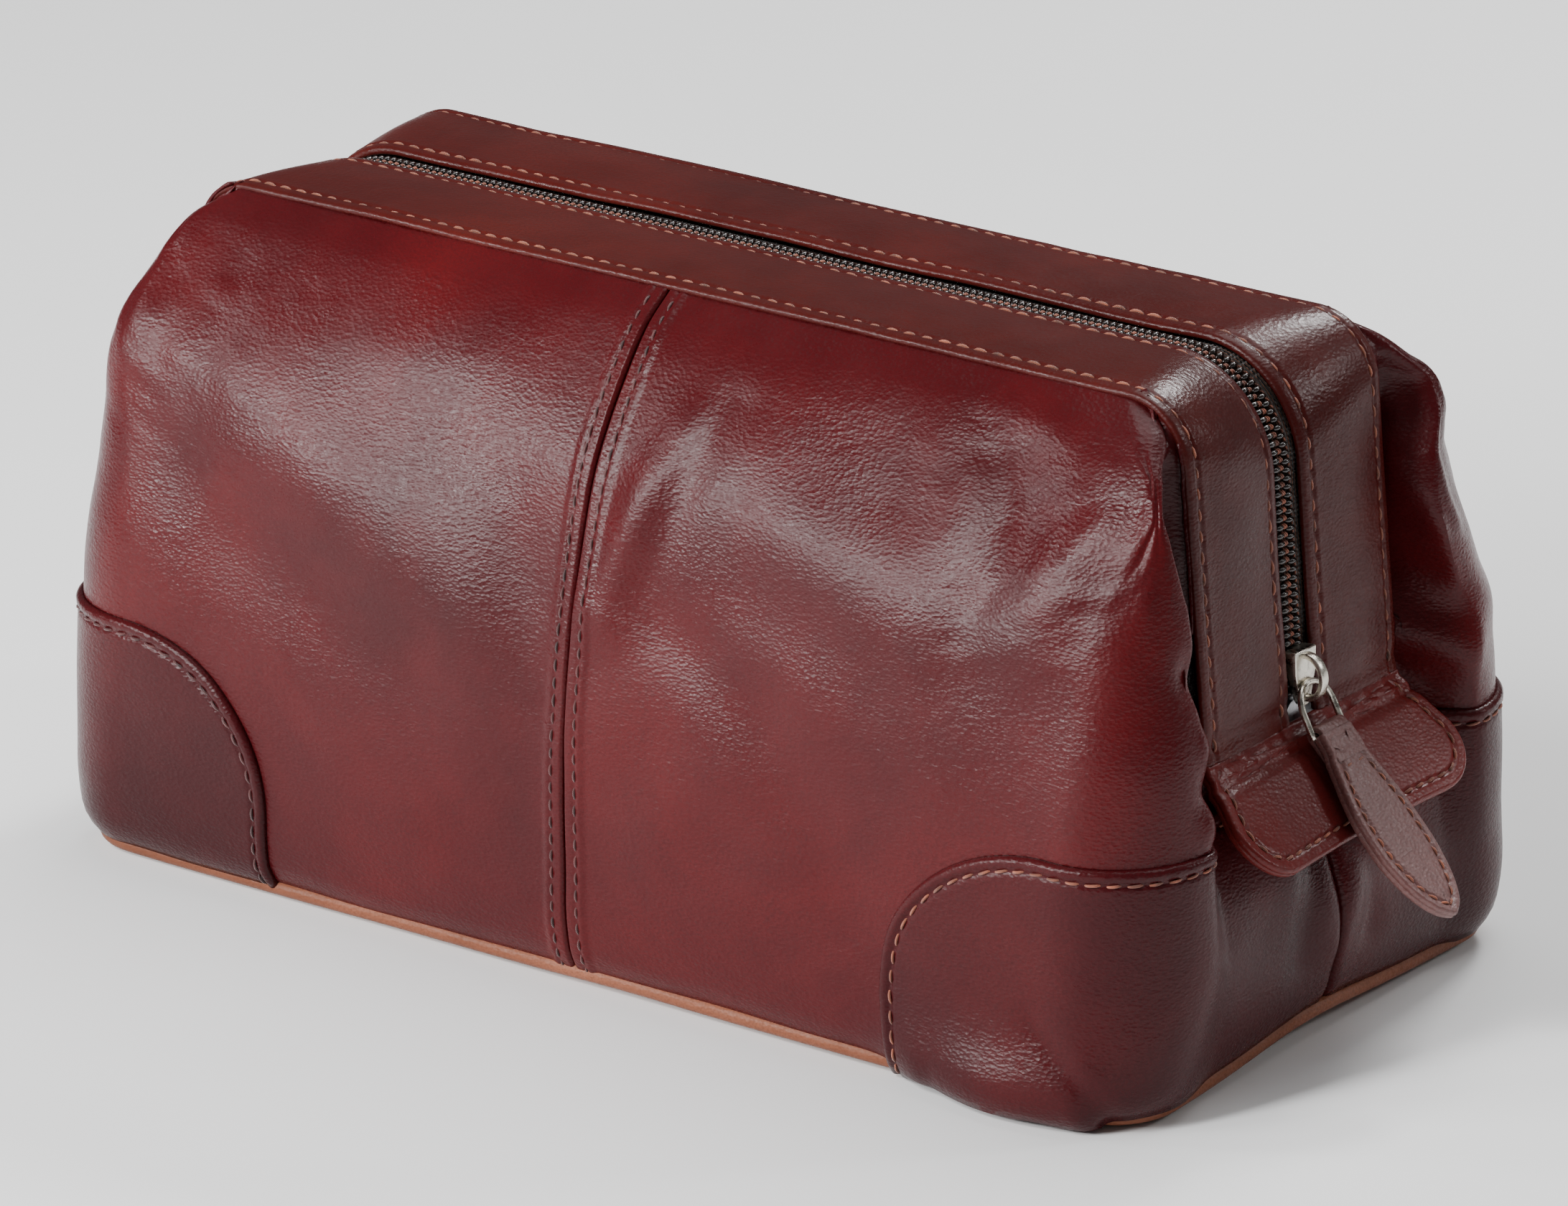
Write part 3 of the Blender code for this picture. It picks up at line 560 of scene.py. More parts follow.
# ---- Materials ----
class Nodes:
    """A material's node tree, with one short call for each kind of node."""

    def __init__(self, name):
        self.material = bpy.data.materials.new(name)
        self.material.use_nodes = True
        self.tree = self.material.node_tree
        self.shader = self.tree.nodes["Principled BSDF"]
        self.place = self.new("ShaderNodeTexCoord").outputs["Object"]

    def new(self, kind, **settings):
        node = self.tree.nodes.new(kind)
        for key, value in settings.items():
            setattr(node, key, value)
        return node

    def join(self, output, socket):
        self.tree.links.new(output, socket)

    def stretch(self, scale, rotation=(0, 0, 0)):
        node = self.new("ShaderNodeMapping")
        self.join(self.place, node.inputs["Vector"])
        node.inputs["Scale"].default_value = scale
        node.inputs["Rotation"].default_value = rotation
        return node.outputs["Vector"]

    def noise(self, scale, detail=3.0, rough=0.55, warp=0.0, vector=None):
        node = self.new("ShaderNodeTexNoise")
        self.join(vector or self.place, node.inputs["Vector"])
        node.inputs["Scale"].default_value = scale
        node.inputs["Detail"].default_value = detail
        node.inputs["Roughness"].default_value = rough
        node.inputs["Distortion"].default_value = warp
        return node.outputs["Fac"]

    def cells(self, scale, feature="F1", vector=None):
        node = self.new("ShaderNodeTexVoronoi", feature=feature)
        self.join(vector or self.place, node.inputs["Vector"])
        node.inputs["Scale"].default_value = scale
        return node.outputs["Distance"]

    def wave(self, scale, direction="X", warp=0.0, vector=None):
        node = self.new("ShaderNodeTexWave", bands_direction=direction)
        self.join(vector or self.place, node.inputs["Vector"])
        node.inputs["Scale"].default_value = scale
        node.inputs["Distortion"].default_value = warp
        return node.outputs["Fac"]

    def ramp(self, value, stops):
        node = self.new("ShaderNodeValToRGB")
        self.join(value, node.inputs["Fac"])
        elements = node.color_ramp.elements
        while len(elements) < len(stops):
            elements.new(0.5)
        for element, (position, colour) in zip(elements, stops):
            element.position = position
            element.color = (*colour, 1.0)
        return node.outputs["Color"]

    def span(self, value, low, high, start=0.0, end=1.0):
        node = self.new("ShaderNodeMapRange")
        self.join(value, node.inputs["Value"])
        for key, number in (("From Min", start), ("From Max", end), ("To Min", low), ("To Max", high)):
            node.inputs[key].default_value = number
        return node.outputs["Result"]

    def maths(self, operation, a, b):
        node = self.new("ShaderNodeMath", operation=operation)
        for socket, value in zip(node.inputs, (a, b)):
            if isinstance(value, (int, float)):
                socket.default_value = value
            else:
                self.join(value, socket)
        return node.outputs["Value"]

    def mix(self, factor, a, b, mode="MIX"):
        node = self.new("ShaderNodeMix", data_type="RGBA", blend_type=mode)
        for socket, value in zip((node.inputs["Factor"], node.inputs[6], node.inputs[7]), (factor, a, b)):
            if isinstance(value, (int, float)):
                socket.default_value = value
            elif isinstance(value, tuple):
                socket.default_value = (*value, 1.0)
            else:
                self.join(value, socket)
        return node.outputs[2]

    def bump(self, height, distance, strength=1.0, below=None):
        node = self.new("ShaderNodeBump")
        self.join(height, node.inputs["Height"])
        node.inputs["Distance"].default_value = distance
        node.inputs["Strength"].default_value = strength
        if below is not None:
            self.join(below, node.inputs["Normal"])
        return node.outputs["Normal"]

    def finish(self, colour, roughness, normal, **fixed):
        self.join(colour, self.shader.inputs["Base Color"])
        self.join(roughness, self.shader.inputs["Roughness"])
        self.join(normal, self.shader.inputs["Normal"])
        for name, value in fixed.items():
            self.shader.inputs[name.replace("_", " ")].default_value = value
        return self.material


def glazed_leather(name, dark, mid, bright, rough=(0.23, 0.34), grain=1.0, level=0.20):
    """Glazed hide: mottled dye, stretched pebble grain, hair pores, creases and light scuffs."""
    n = Nodes(name)
    cloud = n.noise(14, 5.0, 0.55, 0.6)
    # The three colour stops come as given: each hide's own colours, and for the puller also painted sheen,
    # lightened and greyed.
    dye = n.ramp(cloud, [(0.30, dark), (0.50, mid), (0.72, bright)])
    speck = n.noise(1900, 2.0, 0.6)
    dye = n.mix(n.span(speck, 0.0, 0.45, 0.45, 0.65), dye, dark)
    patchy = n.noise(70, 4.0, 0.6)
    dye = n.mix(n.span(patchy, 0.0, 0.30, 0.45, 0.75), dye, bright)
    scuff = n.noise(60, 8.0, 0.75, 1.5, n.stretch((1.0, 1.0, 7.0), (0.5, 0.35, 0.2)))
    scuffed = tuple(min(1.0, 1.8 * c + 0.01) for c in bright)
    dye = n.mix(n.span(scuff, 0.0, 0.20, 0.68, 0.80), dye, scuffed)
    pebble = n.cells(980, "F1", n.stretch((1.0, 1.0, 1.7), (0.15, 0.55, 0.0)))
    fine = n.noise(2600, 3.0, 0.6)
    crease = n.noise(420, 5.0, 0.62, 1.0, n.stretch((0.8, 0.8, 2.2), (0.3, 0.5, 0.0)))
    pores = n.span(n.cells(700), 0.0, 1.0, 0.02, 0.14)
    height = n.bump(n.noise(60, 3.0, 0.5, 0.4), 0.0004, 0.4)
    height = n.bump(crease, 0.00022, 0.40 * grain, height)
    height = n.bump(pebble, 0.00016, 0.50 * grain, height)
    height = n.bump(pores, 0.00005, 0.4 * grain, height)
    height = n.bump(fine, 0.00003, 0.5 * grain, height)
    shine = n.maths("ADD", n.span(n.noise(48, 4.0), rough[0], rough[1], 0.3, 0.7),
                    n.span(speck, -0.05, 0.07, 0.3, 0.7))
    n.shader.inputs["Specular IOR Level"].default_value = level
    return n.finish(dye, shine, height)


def sewing_thread(name, colour):
    n = Nodes(name)
    twist = n.wave(1500, "DIAGONAL", 1.0)
    dye = n.ramp(n.noise(260, 3.0), [(0.30, tuple(0.35 * c for c in colour)), (0.50, colour),
                                     (0.72, tuple(min(1.0, 1.7 * c) for c in colour))])
    return n.finish(dye, n.span(twist, 0.45, 0.7), n.bump(twist, 0.0001, 0.8), Sheen_Weight=0.2)


def woven(name, dark, bright, scale, speck=None):
    """A plain weave: two crossed sets of ribs, uneven in tone."""
    n = Nodes(name)
    warp = n.wave(scale, "X", 0.6)
    weft = n.wave(scale, "Y", 0.6)
    rise = n.wave(scale, "Z", 0.6)
    over = n.maths("MULTIPLY", n.maths("ADD", warp, rise), weft)
    tone = n.maths("ADD", over, n.span(n.noise(220, 4.0), -0.25, 0.25))
    dye = n.ramp(tone, [(0.1, dark), (0.9, bright)])
    if speck:
        dye = n.mix(n.span(n.noise(1100, 1.0), 0.0, 0.8, 0.55, 0.62), dye, speck)
    return n.finish(dye, n.span(over, 0.65, 0.9), n.bump(over, 0.0003, 0.8), Sheen_Weight=0.25)


def metal(name, colour, rough, brushed=(40.0, 1.0, 1.0)):
    """Worn plated metal: fine scratches, duller patches and brassy wear."""
    n = Nodes(name)
    wear = n.noise(500, 5.0, 0.65)
    dye = n.ramp(wear, [(0.30, tuple(0.50 * c for c in colour)), (0.50, colour),
                        (0.78, tuple(min(1.0, 1.2 * c) for c in colour))])
    scratch = n.noise(900, 4.0, 0.6, 0.0, n.stretch(brushed))
    height = n.bump(n.noise(650, 4.0, 0.6), 0.00012, 0.35, n.bump(scratch, 0.00003, 0.35))
    return n.finish(dye, n.span(wear, rough[0], rough[1], 0.3, 0.7), height, Metallic=1.0)


def nylon(name):
    n = Nodes(name)
    tone = n.noise(900, 3.0)
    dye = n.ramp(tone, [(0.3, (0.006, 0.004, 0.004)), (0.6, (0.016, 0.009, 0.007)),
                        (0.8, (0.05, 0.022, 0.014))])
    return n.finish(dye, n.span(tone, 0.16, 0.30), n.bump(n.noise(2200, 2.0), 0.00003, 0.4),
                    Coat_Weight=0.4, Coat_Roughness=0.12)


def pressed_board(name):
    n = Nodes(name)
    fibre = n.noise(300, 8.0, 0.75, 1.0)
    dye = n.ramp(fibre, [(0.3, (0.12, 0.08, 0.045)), (0.6, (0.25, 0.18, 0.11)), (0.8, (0.36, 0.28, 0.18))])
    return n.finish(dye, n.span(fibre, 0.8, 0.95), n.bump(fibre, 0.0002, 0.6))


MATERIALS = {
    "panel_leather": glazed_leather("burgundy_hide", (0.039, 0.0028, 0.0040), (0.058, 0.0040, 0.0056),
                                    (0.090, 0.0062, 0.0074)),
    "patch_leather": glazed_leather("patch_hide", (0.026, 0.0026, 0.0036), (0.040, 0.0036, 0.0050),
                                    (0.064, 0.0056, 0.0068), level=0.18),
    "facing_leather": glazed_leather("facing_hide", (0.041, 0.0046, 0.0040), (0.058, 0.0064, 0.0052),
                                     (0.094, 0.0110, 0.0080), (0.24, 0.36), 0.75, 0.19),
    "tab_leather": glazed_leather("tab_hide", (0.072, 0.0078, 0.0074), (0.102, 0.0100, 0.0092),
                                  (0.150, 0.0145, 0.0125), (0.27, 0.38), 0.75, 0.24),
    "base_leather": glazed_leather("tan_hide", (0.120, 0.037, 0.017), (0.200, 0.066, 0.034),
                                   (0.290, 0.105, 0.058), (0.38, 0.54)),
    # The puller's colours are lighter and greyer than the other hides: partly its own paler leather, partly
    # painted sheen for the haze off its rough face.
    "puller_leather": glazed_leather("puller_hide_with_painted_sheen", (0.075, 0.0260, 0.0240), (0.130, 0.0480, 0.0440),
                                     (0.200, 0.084, 0.076), (0.34, 0.48), 1.6, 0.65),
    "thread": sewing_thread("rust_thread", (0.240, 0.066, 0.032)),
    "dark_thread": sewing_thread("oxblood_thread", (0.060, 0.0095, 0.0085)),
    "zip_tape": woven("rust_tape", (0.060, 0.024, 0.013), (0.230, 0.092, 0.052), 330, (0.050, 0.028, 0.018)),
    "lining_cloth": woven("lining_weave", (0.008, 0.006, 0.006), (0.045, 0.032, 0.028), 420),
    "zip_coil": nylon("coil_nylon"),
    "hardware_nickel": metal("worn_nickel", (0.66, 0.62, 0.54), (0.20, 0.38)),
    "steel": metal("spring_steel", (0.45, 0.45, 0.46), (0.28, 0.45)),
    "board": pressed_board("fibre_board"),
}


def dress(obj, material, slot=None, *replaced):
    obj.data.materials.clear()
    obj.data.materials.append(MATERIALS[material])
    if replaced:
        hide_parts(*replaced)
    return obj


# ---- Body ----
def make_panels():
    columns = crowded([(0, 1), (0.0012, 0.0003), (0.0065, 0.00045), (0.012, 0.0011), (0.108, 0.0017),
                       (CORNER_START, 0.0012), (TUCK_S, 0.0009), (END_S - 0.003, 0.0016), (END_S, 0.0006)])
    heights = crowded([(FOOT_Z, 1), (0.012, 0.0009), (NOTCH_Z, 0.0011), (0.120, 0.0012), (RIM_Z, 0.0008)])
    s, z = np.meshgrid(columns, heights)
    keep = (z[:-1, :-1] < NOTCH_Z - 1e-6) | (s[:-1, :-1] < TUCK_S - 1e-6)
    for quarter in QUARTERS:
        points, _ = skin(s, z, quarter)
        panel = sheet_object(f"{quarter}_panel_leather", points, LEATHER, keep)
        clean(panel, turn_faces=False)
        dress(panel, "panel_leather", "panel_leather", f"{quarter}_panel")
        bend_with_mouth(panel)
        seam_z = np.linspace(FOOT_Z + 0.001, RIM_Z - 0.0015, 150)
        row = skin(np.full(150, SEAM_ROW_S), seam_z, quarter, 0.0001)
        sewing = stitches(f"{quarter}_seam_stitches", [row], SEAM_PITCH, seed=11)
        dress(sewing, "dark_thread", "panel_leather")
        bend_with_mouth(sewing)


def lining_place(s, z, quarter):
    """The lining hangs clear of the skin's folds: a plain rounded section inside it."""
    width, _, end, _ = section_values(z, quarter)
    width, end = width - 0.0032, end - 0.0036
    turn = np.clip((s - CORNER_START) / (CORNER_END - CORNER_START), 0, 1) * math.pi / 2
    side = np.clip((s - CORNER_END) / (END_S - CORNER_END), 0, 1)
    x = np.where(s < CORNER_START, s / CORNER_START * (end - LINING_RADIUS),
                 end - LINING_RADIUS + LINING_RADIUS * np.sin(turn))
    y = lerp(width - LINING_RADIUS + LINING_RADIUS * np.cos(turn), 0.0, side)
    x_sign, y_sign = QUARTERS[quarter]
    return lean(np.stack([x_sign * x, y_sign * y, z], -1))


def make_linings():
    columns = np.concatenate([np.linspace(0, CORNER_START, 20), np.linspace(CORNER_START, TUCK_S, 14)[1:],
                              np.linspace(TUCK_S, END_S, 6)[1:]])
    heights = np.concatenate([np.linspace(0.0065, NOTCH_Z, 14), np.linspace(NOTCH_Z, 0.1295, 15)[1:]])
    for side in ("front", "back"):
        halves = []
        for half in ("left", "right"):
            s, z = np.meshgrid(columns, heights)
            inner = lining_place(s, z, f"{side}_{half}")
            halves.append(inner[:, ::-1] if half == "left" else inner[:, 1:])
        points = np.concatenate(halves, 1)
        across = np.concatenate([columns[::-1], columns[1:]])
        widest = np.maximum(across[:-1], across[1:])
        keep = (heights[:-1, None] < NOTCH_Z - 1e-6) | (widest[None, :] < CORNER_END + 0.004)
        lining = sheet_object(f"{side}_lining_cloth", points, 0.0006, keep)
        clean(lining, turn_faces=False)
        dress(lining, "lining_cloth", "lining_cloth", f"{side}_lining")
        bend_with_mouth(lining)


def patch_ring(inset):
    """A line parallel to a patch's sewn edge: up its side, round its corner, along its top."""
    rx, rz = [max(r - inset, 0.0015) for r in PATCH_ARC]
    left, top, foot = PATCH_START + inset, PATCH_TOP - inset, FOOT_Z + 0.0016
    centre_s, centre_z = left + rx, top - rz
    centre_z = max(centre_z, foot + 0.0002)
    rz = top - centre_z
    side = np.stack([np.full(10, left), np.linspace(foot, centre_z, 10)], -1)
    a = np.linspace(math.pi, math.pi / 2, 50)[1:]
    arc = np.stack([centre_s + rx * np.cos(a), centre_z + rz * np.sin(a)], -1)
    along = np.linspace(centre_s, END_S, 70)[1:]
    return np.vstack([side, arc, np.stack([along, np.full(69, top)], -1)])


def patch_height(inset, along):
    """Thickness of a patch above the skin: a turned edge, then the sunk needle row."""
    edge = PATCH_THICKNESS * np.sqrt(1 - (1 - np.clip(inset / 0.0009, 0, 1)) ** 2) - 0.00012
    row = 0.00034 * np.exp(-((inset - PATCH_ROW) / 0.0006) ** 2)
    gather = np.exp(-((inset - PATCH_ROW) / 0.0016) ** 2)
    pucker = 0.00010 * np.cos(2 * math.pi * along / PATCH_PITCH) * gather
    swell = 0.00035 * np.exp(-((inset - 0.0014) / 0.0009) ** 2)
    return edge - row + pucker + swell


def make_patches():
    deepest = PATCH_TOP - FOOT_Z - 0.0022
    insets = crowded([(0, 1), (0.0010, 0.00017), (0.0050, 0.00032), (0.010, 0.0010),
                      (deepest, 0.0019)])
    rings = np.array([patch_ring(d) for d in insets])
    steps = np.linalg.norm(np.diff(rings, axis=1), axis=-1)
    along = np.concatenate([np.zeros((len(insets), 1)), np.cumsum(steps, 1)], 1)
    height = patch_height(insets[:, None], along)
    row = patch_ring(PATCH_ROW)
    for quarter in QUARTERS:
        points, _ = skin(rings[..., 0], rings[..., 1], quarter, height)
        patch = sheet_object(f"{quarter}_patch_leather", points, 0.0006)
        dress(patch, "patch_leather", "patch_leather", f"{quarter}_corner_patch")
        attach(patch, "bag_body")
        path, normals = skin(row[:, 0], row[:, 1], quarter, PATCH_THICKNESS - 0.0002)
        sewing = stitches(f"{quarter}_patch_stitches", [(path, normals)], PATCH_PITCH, seed=21)
        dress(sewing, "thread" if "right" in quarter else "dark_thread", "patch_leather")
        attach(sewing, "bag_body")


def rounded_outline(half_x, half_y, radius, steps=14, side_steps=24):
    """A rounded rectangle as points, counter-clockwise, with points along its straight sides."""
    corners = []
    for sx, sy, start in ((1, 1, 0), (-1, 1, 90), (-1, -1, 180), (1, -1, 270)):
        a = np.radians(np.linspace(start, start + 90, steps))
        corners.append(np.stack([sx * (half_x - radius) + radius * np.cos(a),
                                 sy * (half_y - radius) + radius * np.sin(a)], -1))
    points = []
    for here, after in zip(corners, corners[1:] + corners[:1]):
        points += [here] + [lerp(here[-1], after[0], t)[None] for t in np.arange(1, side_steps) / side_steps]
    return np.vstack(points)


def inset_outline(outline, inset):
    """The outline moved inwards along its own normals."""
    tangent = unit(np.roll(outline, -1, 0) - np.roll(outline, 1, 0))
    inwards = np.stack([-tangent[:, 1], tangent[:, 0]], -1)
    return outline + inwards * inset


def make_base():
    """A tan hide base with a round turned edge that waves a little under the body."""
    half = BASE_HIGH.z / 2 + 0.0005
    outline = rounded_outline(BASE_HIGH.x + 0.0006, BASE_HIGH.y + 0.0010, 0.015)
    rings = []
    for a in np.radians(np.linspace(-90, 90, 11)):
        ring = inset_outline(outline, half - half * math.cos(a))
        rings.append(np.column_stack([ring, np.full(len(ring), half + half * math.sin(a))]))
    lower = [np.column_stack([inset_outline(outline, half + d), np.zeros(len(outline))])
             for d in (0.0098, 0.0045)]
    upper = [np.column_stack([inset_outline(outline, half + d), np.full(len(outline), 2 * half - 0.0004)])
             for d in (0.0045, 0.0098)]
    points = np.array(lower + rings + upper)
    wave = 0.0009 * noise3(points * np.array([1, 1, 0]), 34, 8) + 0.0005
    near = smooth((np.abs(points[..., 0]) - 0.10) / 0.03) + smooth((np.abs(points[..., 1]) - 0.058) / 0.008)
    points[..., 2] += np.clip(wave, 0, None) * np.clip(near, 0, 1) + end_rise(points[..., 0], points[..., 1])
    base = tube_object("base_leather_edge", points)
    dress(base, "base_leather", "base_leather", "base_panel")
    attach(base, "bag_body")


# ---- Mouth ----
def facing_section():
    """Closed section of a facing as (y, depth): turned edges, needle rows and a low crown."""
    inner, outer = FACING_INNER_Y, FACING_OUTER_Y
    rows = (inner + FACING_ROW, outer - FACING_ROW)
    top_y = crowded([(inner + FACING_RIM, 1), (inner + 0.0048, 0.00035), (outer - 0.0048, 0.0016),
                     (outer - FACING_RIM, 0.00035)])
    t = (top_y - inner) / (outer - inner)
    depth = -0.0007 * np.sin(math.pi * t)
    for row in rows:
        depth += 0.00042 * np.exp(-((top_y - row) / 0.00055) ** 2)
        depth -= 0.00014 * np.exp(-((top_y - row) / 0.0014) ** 2)
    a = np.radians(np.linspace(90, -90, 9))[1:]
    rim = FACING_RIM
    outer_edge = [(outer - rim + rim * math.cos(t), rim - rim * math.sin(t)) for t in a]
    inner_edge = [(inner + rim - rim * math.cos(t), rim - rim * math.sin(t)) for t in a[::-1]]
    return list(zip(top_y, depth)) + outer_edge + inner_edge[1:]


def make_facings():
    section = facing_section()
    for side, sign in (("front", -1), ("back", 1)):
        lines = np.array([arch_line(y, d, 0.0001) for y, d in section])
        normals = arch_normals(0.5 * (FACING_INNER_Y + FACING_OUTER_Y), start=0.0001)
        length = np.concatenate([[0], np.cumsum(np.linalg.norm(np.diff(lines[0], axis=0), axis=1))])
        y = np.array([p[0] for p in section])[:, None]
        edge_row = np.minimum(np.abs(y - FACING_INNER_Y - FACING_ROW),
                              np.abs(y - FACING_OUTER_Y + FACING_ROW))
        gather = np.exp(-(edge_row / 0.0014) ** 2)
        pucker = 0.00009 * np.cos(2 * math.pi * length[None] / FACING_PITCH) * gather
        ripple = 0.00034 * noise3(lines * np.array([1, sign, 1]), 36, 2 + sign)
        ripple = ripple + 0.00010 * noise3(lines, 110, 6)
        above = smooth((lines[..., 2] - HINGE_Z) / 0.006)
        foot = np.exp(-((lines[..., 2] - HINGE_Z - 0.0035) / 0.0018) ** 2) * 0.0005
        lines = lines + normals[None] * ((pucker + ripple) * above - foot)[..., None]
        lines[..., 1] *= sign
        facing = tube_object(f"{side}_facing_leather", np.swapaxes(lines, 0, 1))
        dress(facing, "facing_leather", "facing_leather", f"{side}_facing")
        bend_leg(facing)
        flip = np.array([1, sign, 1])
        for label, row_y in (("inner", FACING_INNER_Y + FACING_ROW),
                             ("outer", FACING_OUTER_Y - FACING_ROW)):
            path = arch_line(row_y, 0.00005, 0.0015)
            out = arch_normals(row_y, start=0.0015)
            sewing = stitches(f"{side}_facing_{label}_stitches", [(path * flip, out * flip)],
                              FACING_PITCH, seed=31)
            dress(sewing, "thread", "facing_leather")
            bend_leg(sewing)


def bead_rows(name, y, depth, size, pitch, start, segments=(7, 8)):
    """A row of rounded teeth along the arch: size is along, across and out."""
    path = arch_line(y, depth, start)
    out = arch_normals(y, start=start)
    length = np.concatenate([[0], np.cumsum(np.linalg.norm(np.diff(path, axis=0), axis=1))])
    count = int(length[-1] / pitch)
    at = (np.arange(count) + (0.5 if y > 0 else 0.0)) * pitch
    centre, ahead, normal = [np.stack([np.interp(q, length, v[:, a]) for a in range(3)], -1)
                             for q, v in ((at, path), (at + 0.0003, path), (at, out))]
    forward = unit(ahead - centre)
    across = np.array([0.0, 1.0, 0.0])
    rows, around = segments
    u, v = np.meshgrid(np.linspace(0.12, math.pi - 0.12, rows),
                       np.arange(around) * 2 * math.pi / around, indexing="ij")
    shape = np.stack([np.sin(u) * np.cos(v), np.cos(u), np.sin(u) * np.sin(v)], -1).reshape(-1, 3)
    points = (centre[:, None] + forward[:, None] * (shape[None, :, :1] * size[0])
              + across * (shape[None, :, 1:2] * size[1]) + normal[:, None] * (shape[None, :, 2:] * size[2]))
    one = grid_faces(rows, around, True) + [tuple(range(around))[::-1],
                                            tuple((rows - 1) * around + i for i in range(around))]
    each = rows * around
    faces = [tuple(k * each + i for i in face) for k in range(count) for face in one]
    return mesh_object(name, points, faces, 80)


def make_zip():
    for side, sign in (("front", -1), ("back", 1)):
        teeth = bead_rows(f"{side}_zip_teeth", sign * TOOTH_Y, TOOTH_DEPTH, (0.00066, 0.00135, 0.00095),
                          TOOTH_PITCH, 0.0052)
        dress(teeth, "zip_coil", "zip_coil", f"{side}_zip_coil")
        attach(teeth, f"{side}_mouth")
        strip = []
        for y, depth in ((0.0006, TAPE_DEPTH), (0.0032, TAPE_DEPTH - 0.0001), (0.0038, TAPE_DEPTH - 0.0005),
                         (0.0044, TAPE_DEPTH - 0.0001), (0.0112, TAPE_DEPTH)):
            strip.append(arch_line(sign * y, depth, 0.0058))
        tape = sheet_object(f"{side}_zip_tape_weave", np.array(strip), 0.0005)
        dress(tape, "zip_tape", "zip_tape", f"{side}_zip_tape")
        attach(tape, f"{side}_mouth")
        runs = []
        for y, depth in ((0.00032, 0.00175), (0.0031, 0.00225)):
            path, out = arch_line(sign * y, depth, 0.0058), arch_normals(y, start=0.0058)
            runs.append((path, out))
        chain = stitches(f"{side}_zip_sewing", runs, TOOTH_PITCH, 0.00027, 0.8, 0.35, 41)
        dress(chain, "thread", "zip_tape")
        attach(chain, f"{side}_mouth")


# ---- Plates cut from an outline ----
def plate_piece(name, outline, thickness, rim, matrix, row=None, relief=None, shrink=0.006):
    """A doubled piece of hide: a rounded rim with a joint line, sunk needle row and soft face.

    The outline is counter-clockwise in the matrix's XY plane, and Z points out of its face."""
    middle_line = np.column_stack([outline[:, 0] * 0.12,
                                   lerp(outline[:, 1].mean(), outline[:, 1], 0.72)])
    rings = []
    for a in np.radians(np.linspace(-90, 0, 6)):
        rings.append((rim - rim * math.cos(a), -thickness + rim + rim * math.sin(a)))
    half = thickness / 2
    rings += [(0.0, -half - 0.00022), (0.00016, -half), (0.0, -half + 0.00022)]
    for a in np.radians(np.linspace(0, 90, 6)):
        rings.append((rim - rim * math.cos(a), -rim + rim * math.sin(a)))
    back = [(shrink, -thickness), (0.6 * shrink, -thickness)]
    face = [(d, 0.0) for d in crowded([(rim + 0.0002, 1), (shrink, 0.00035)])]
    layers = [np.column_stack([lerp(inset_outline(outline, shrink), middle_line, 0.8),
                               np.full(len(outline), -thickness)])]
    for inset, z in back + rings + face:
        depth = 0.0 if z < -1e-9 or row is None else 0.00036 * math.exp(-((inset - row) / 0.0005) ** 2)
        ring = inset_outline(outline, inset)
        layers.append(np.column_stack([ring, np.full(len(ring), z - depth)]))
    inner = inset_outline(outline, shrink)
    for t in (0.2, 0.4, 0.6, 0.8, 0.93):
        layers.append(np.column_stack([lerp(inner, middle_line, t), np.full(len(inner), 0.0)]))
    points = np.array(layers)
    if relief is not None:
        points[..., 2] += relief(points[..., 0], points[..., 1])
    world = points @ np.array(matrix.to_3x3()).T + np.array(matrix.translation)
    return tube_object(name, world)


def outline_run(outline, inset, matrix, start, end, lift=0.0, relief=None):
    """Part of a line parallel to an outline, in the row frame, with its normals."""
    ring = inset_outline(outline, inset)[start:end]
    z = np.full(len(ring), lift) + (relief(ring[:, 0], ring[:, 1]) if relief else 0.0)
    world = np.column_stack([ring, z]) @ np.array(matrix.to_3x3()).T + np.array(matrix.translation)
    return world, np.tile(np.array(matrix.to_3x3())[:, 2], (len(ring), 1))


def resampled(points, spacing):
    """The same open line with even steps."""
    points = np.asarray(points, float)
    length = np.concatenate([[0], np.cumsum(np.linalg.norm(np.diff(points, axis=0), axis=1))])
    at = np.linspace(0, length[-1], max(2, int(length[-1] / spacing)))
    return np.stack([np.interp(at, length, points[:, k]) for k in range(points.shape[1])], -1)


def leaning_matrix(origin, x_sign, angle):
    """X across the bag, Y down the leaning piece, Z out of its face."""
    down = Vector((math.sin(angle) * x_sign, 0, -math.cos(angle)))
    across = Vector((0, -x_sign, 0))
    out = across.cross(down)
    columns = Matrix((across, down, out)).transposed().to_4x4()
    columns.translation = Vector(origin)
    return columns


def tab_outline():
    """Flares from the facings' width to round lower corners, with a nearly straight lower edge."""
    top, foot, radius = FACING_OUTER_Y, FACING_OUTER_Y + TAB_FLARE, 0.0105
    half = [(top, -0.0006), (top + 0.0002, 0.002)]
    centre = (foot - radius, TAB_LENGTH - radius)
    half += [(centre[0] + radius * math.cos(a), centre[1] + radius * math.sin(a))
             for a in np.radians(np.linspace(-8, 92, 16))]
    half += [(lerp(half[-1][0], 0.0, t), half[-1][1] - 0.0008 * math.sin(math.pi / 2 * t))
             for t in (0.3, 0.65, 1.0)]
    line = np.array(half + [(-x, y) for x, y in reversed(half[:-1])])
    return resampled(np.vstack([line, line[:1]]), OUTLINE_STEP)[:-1]


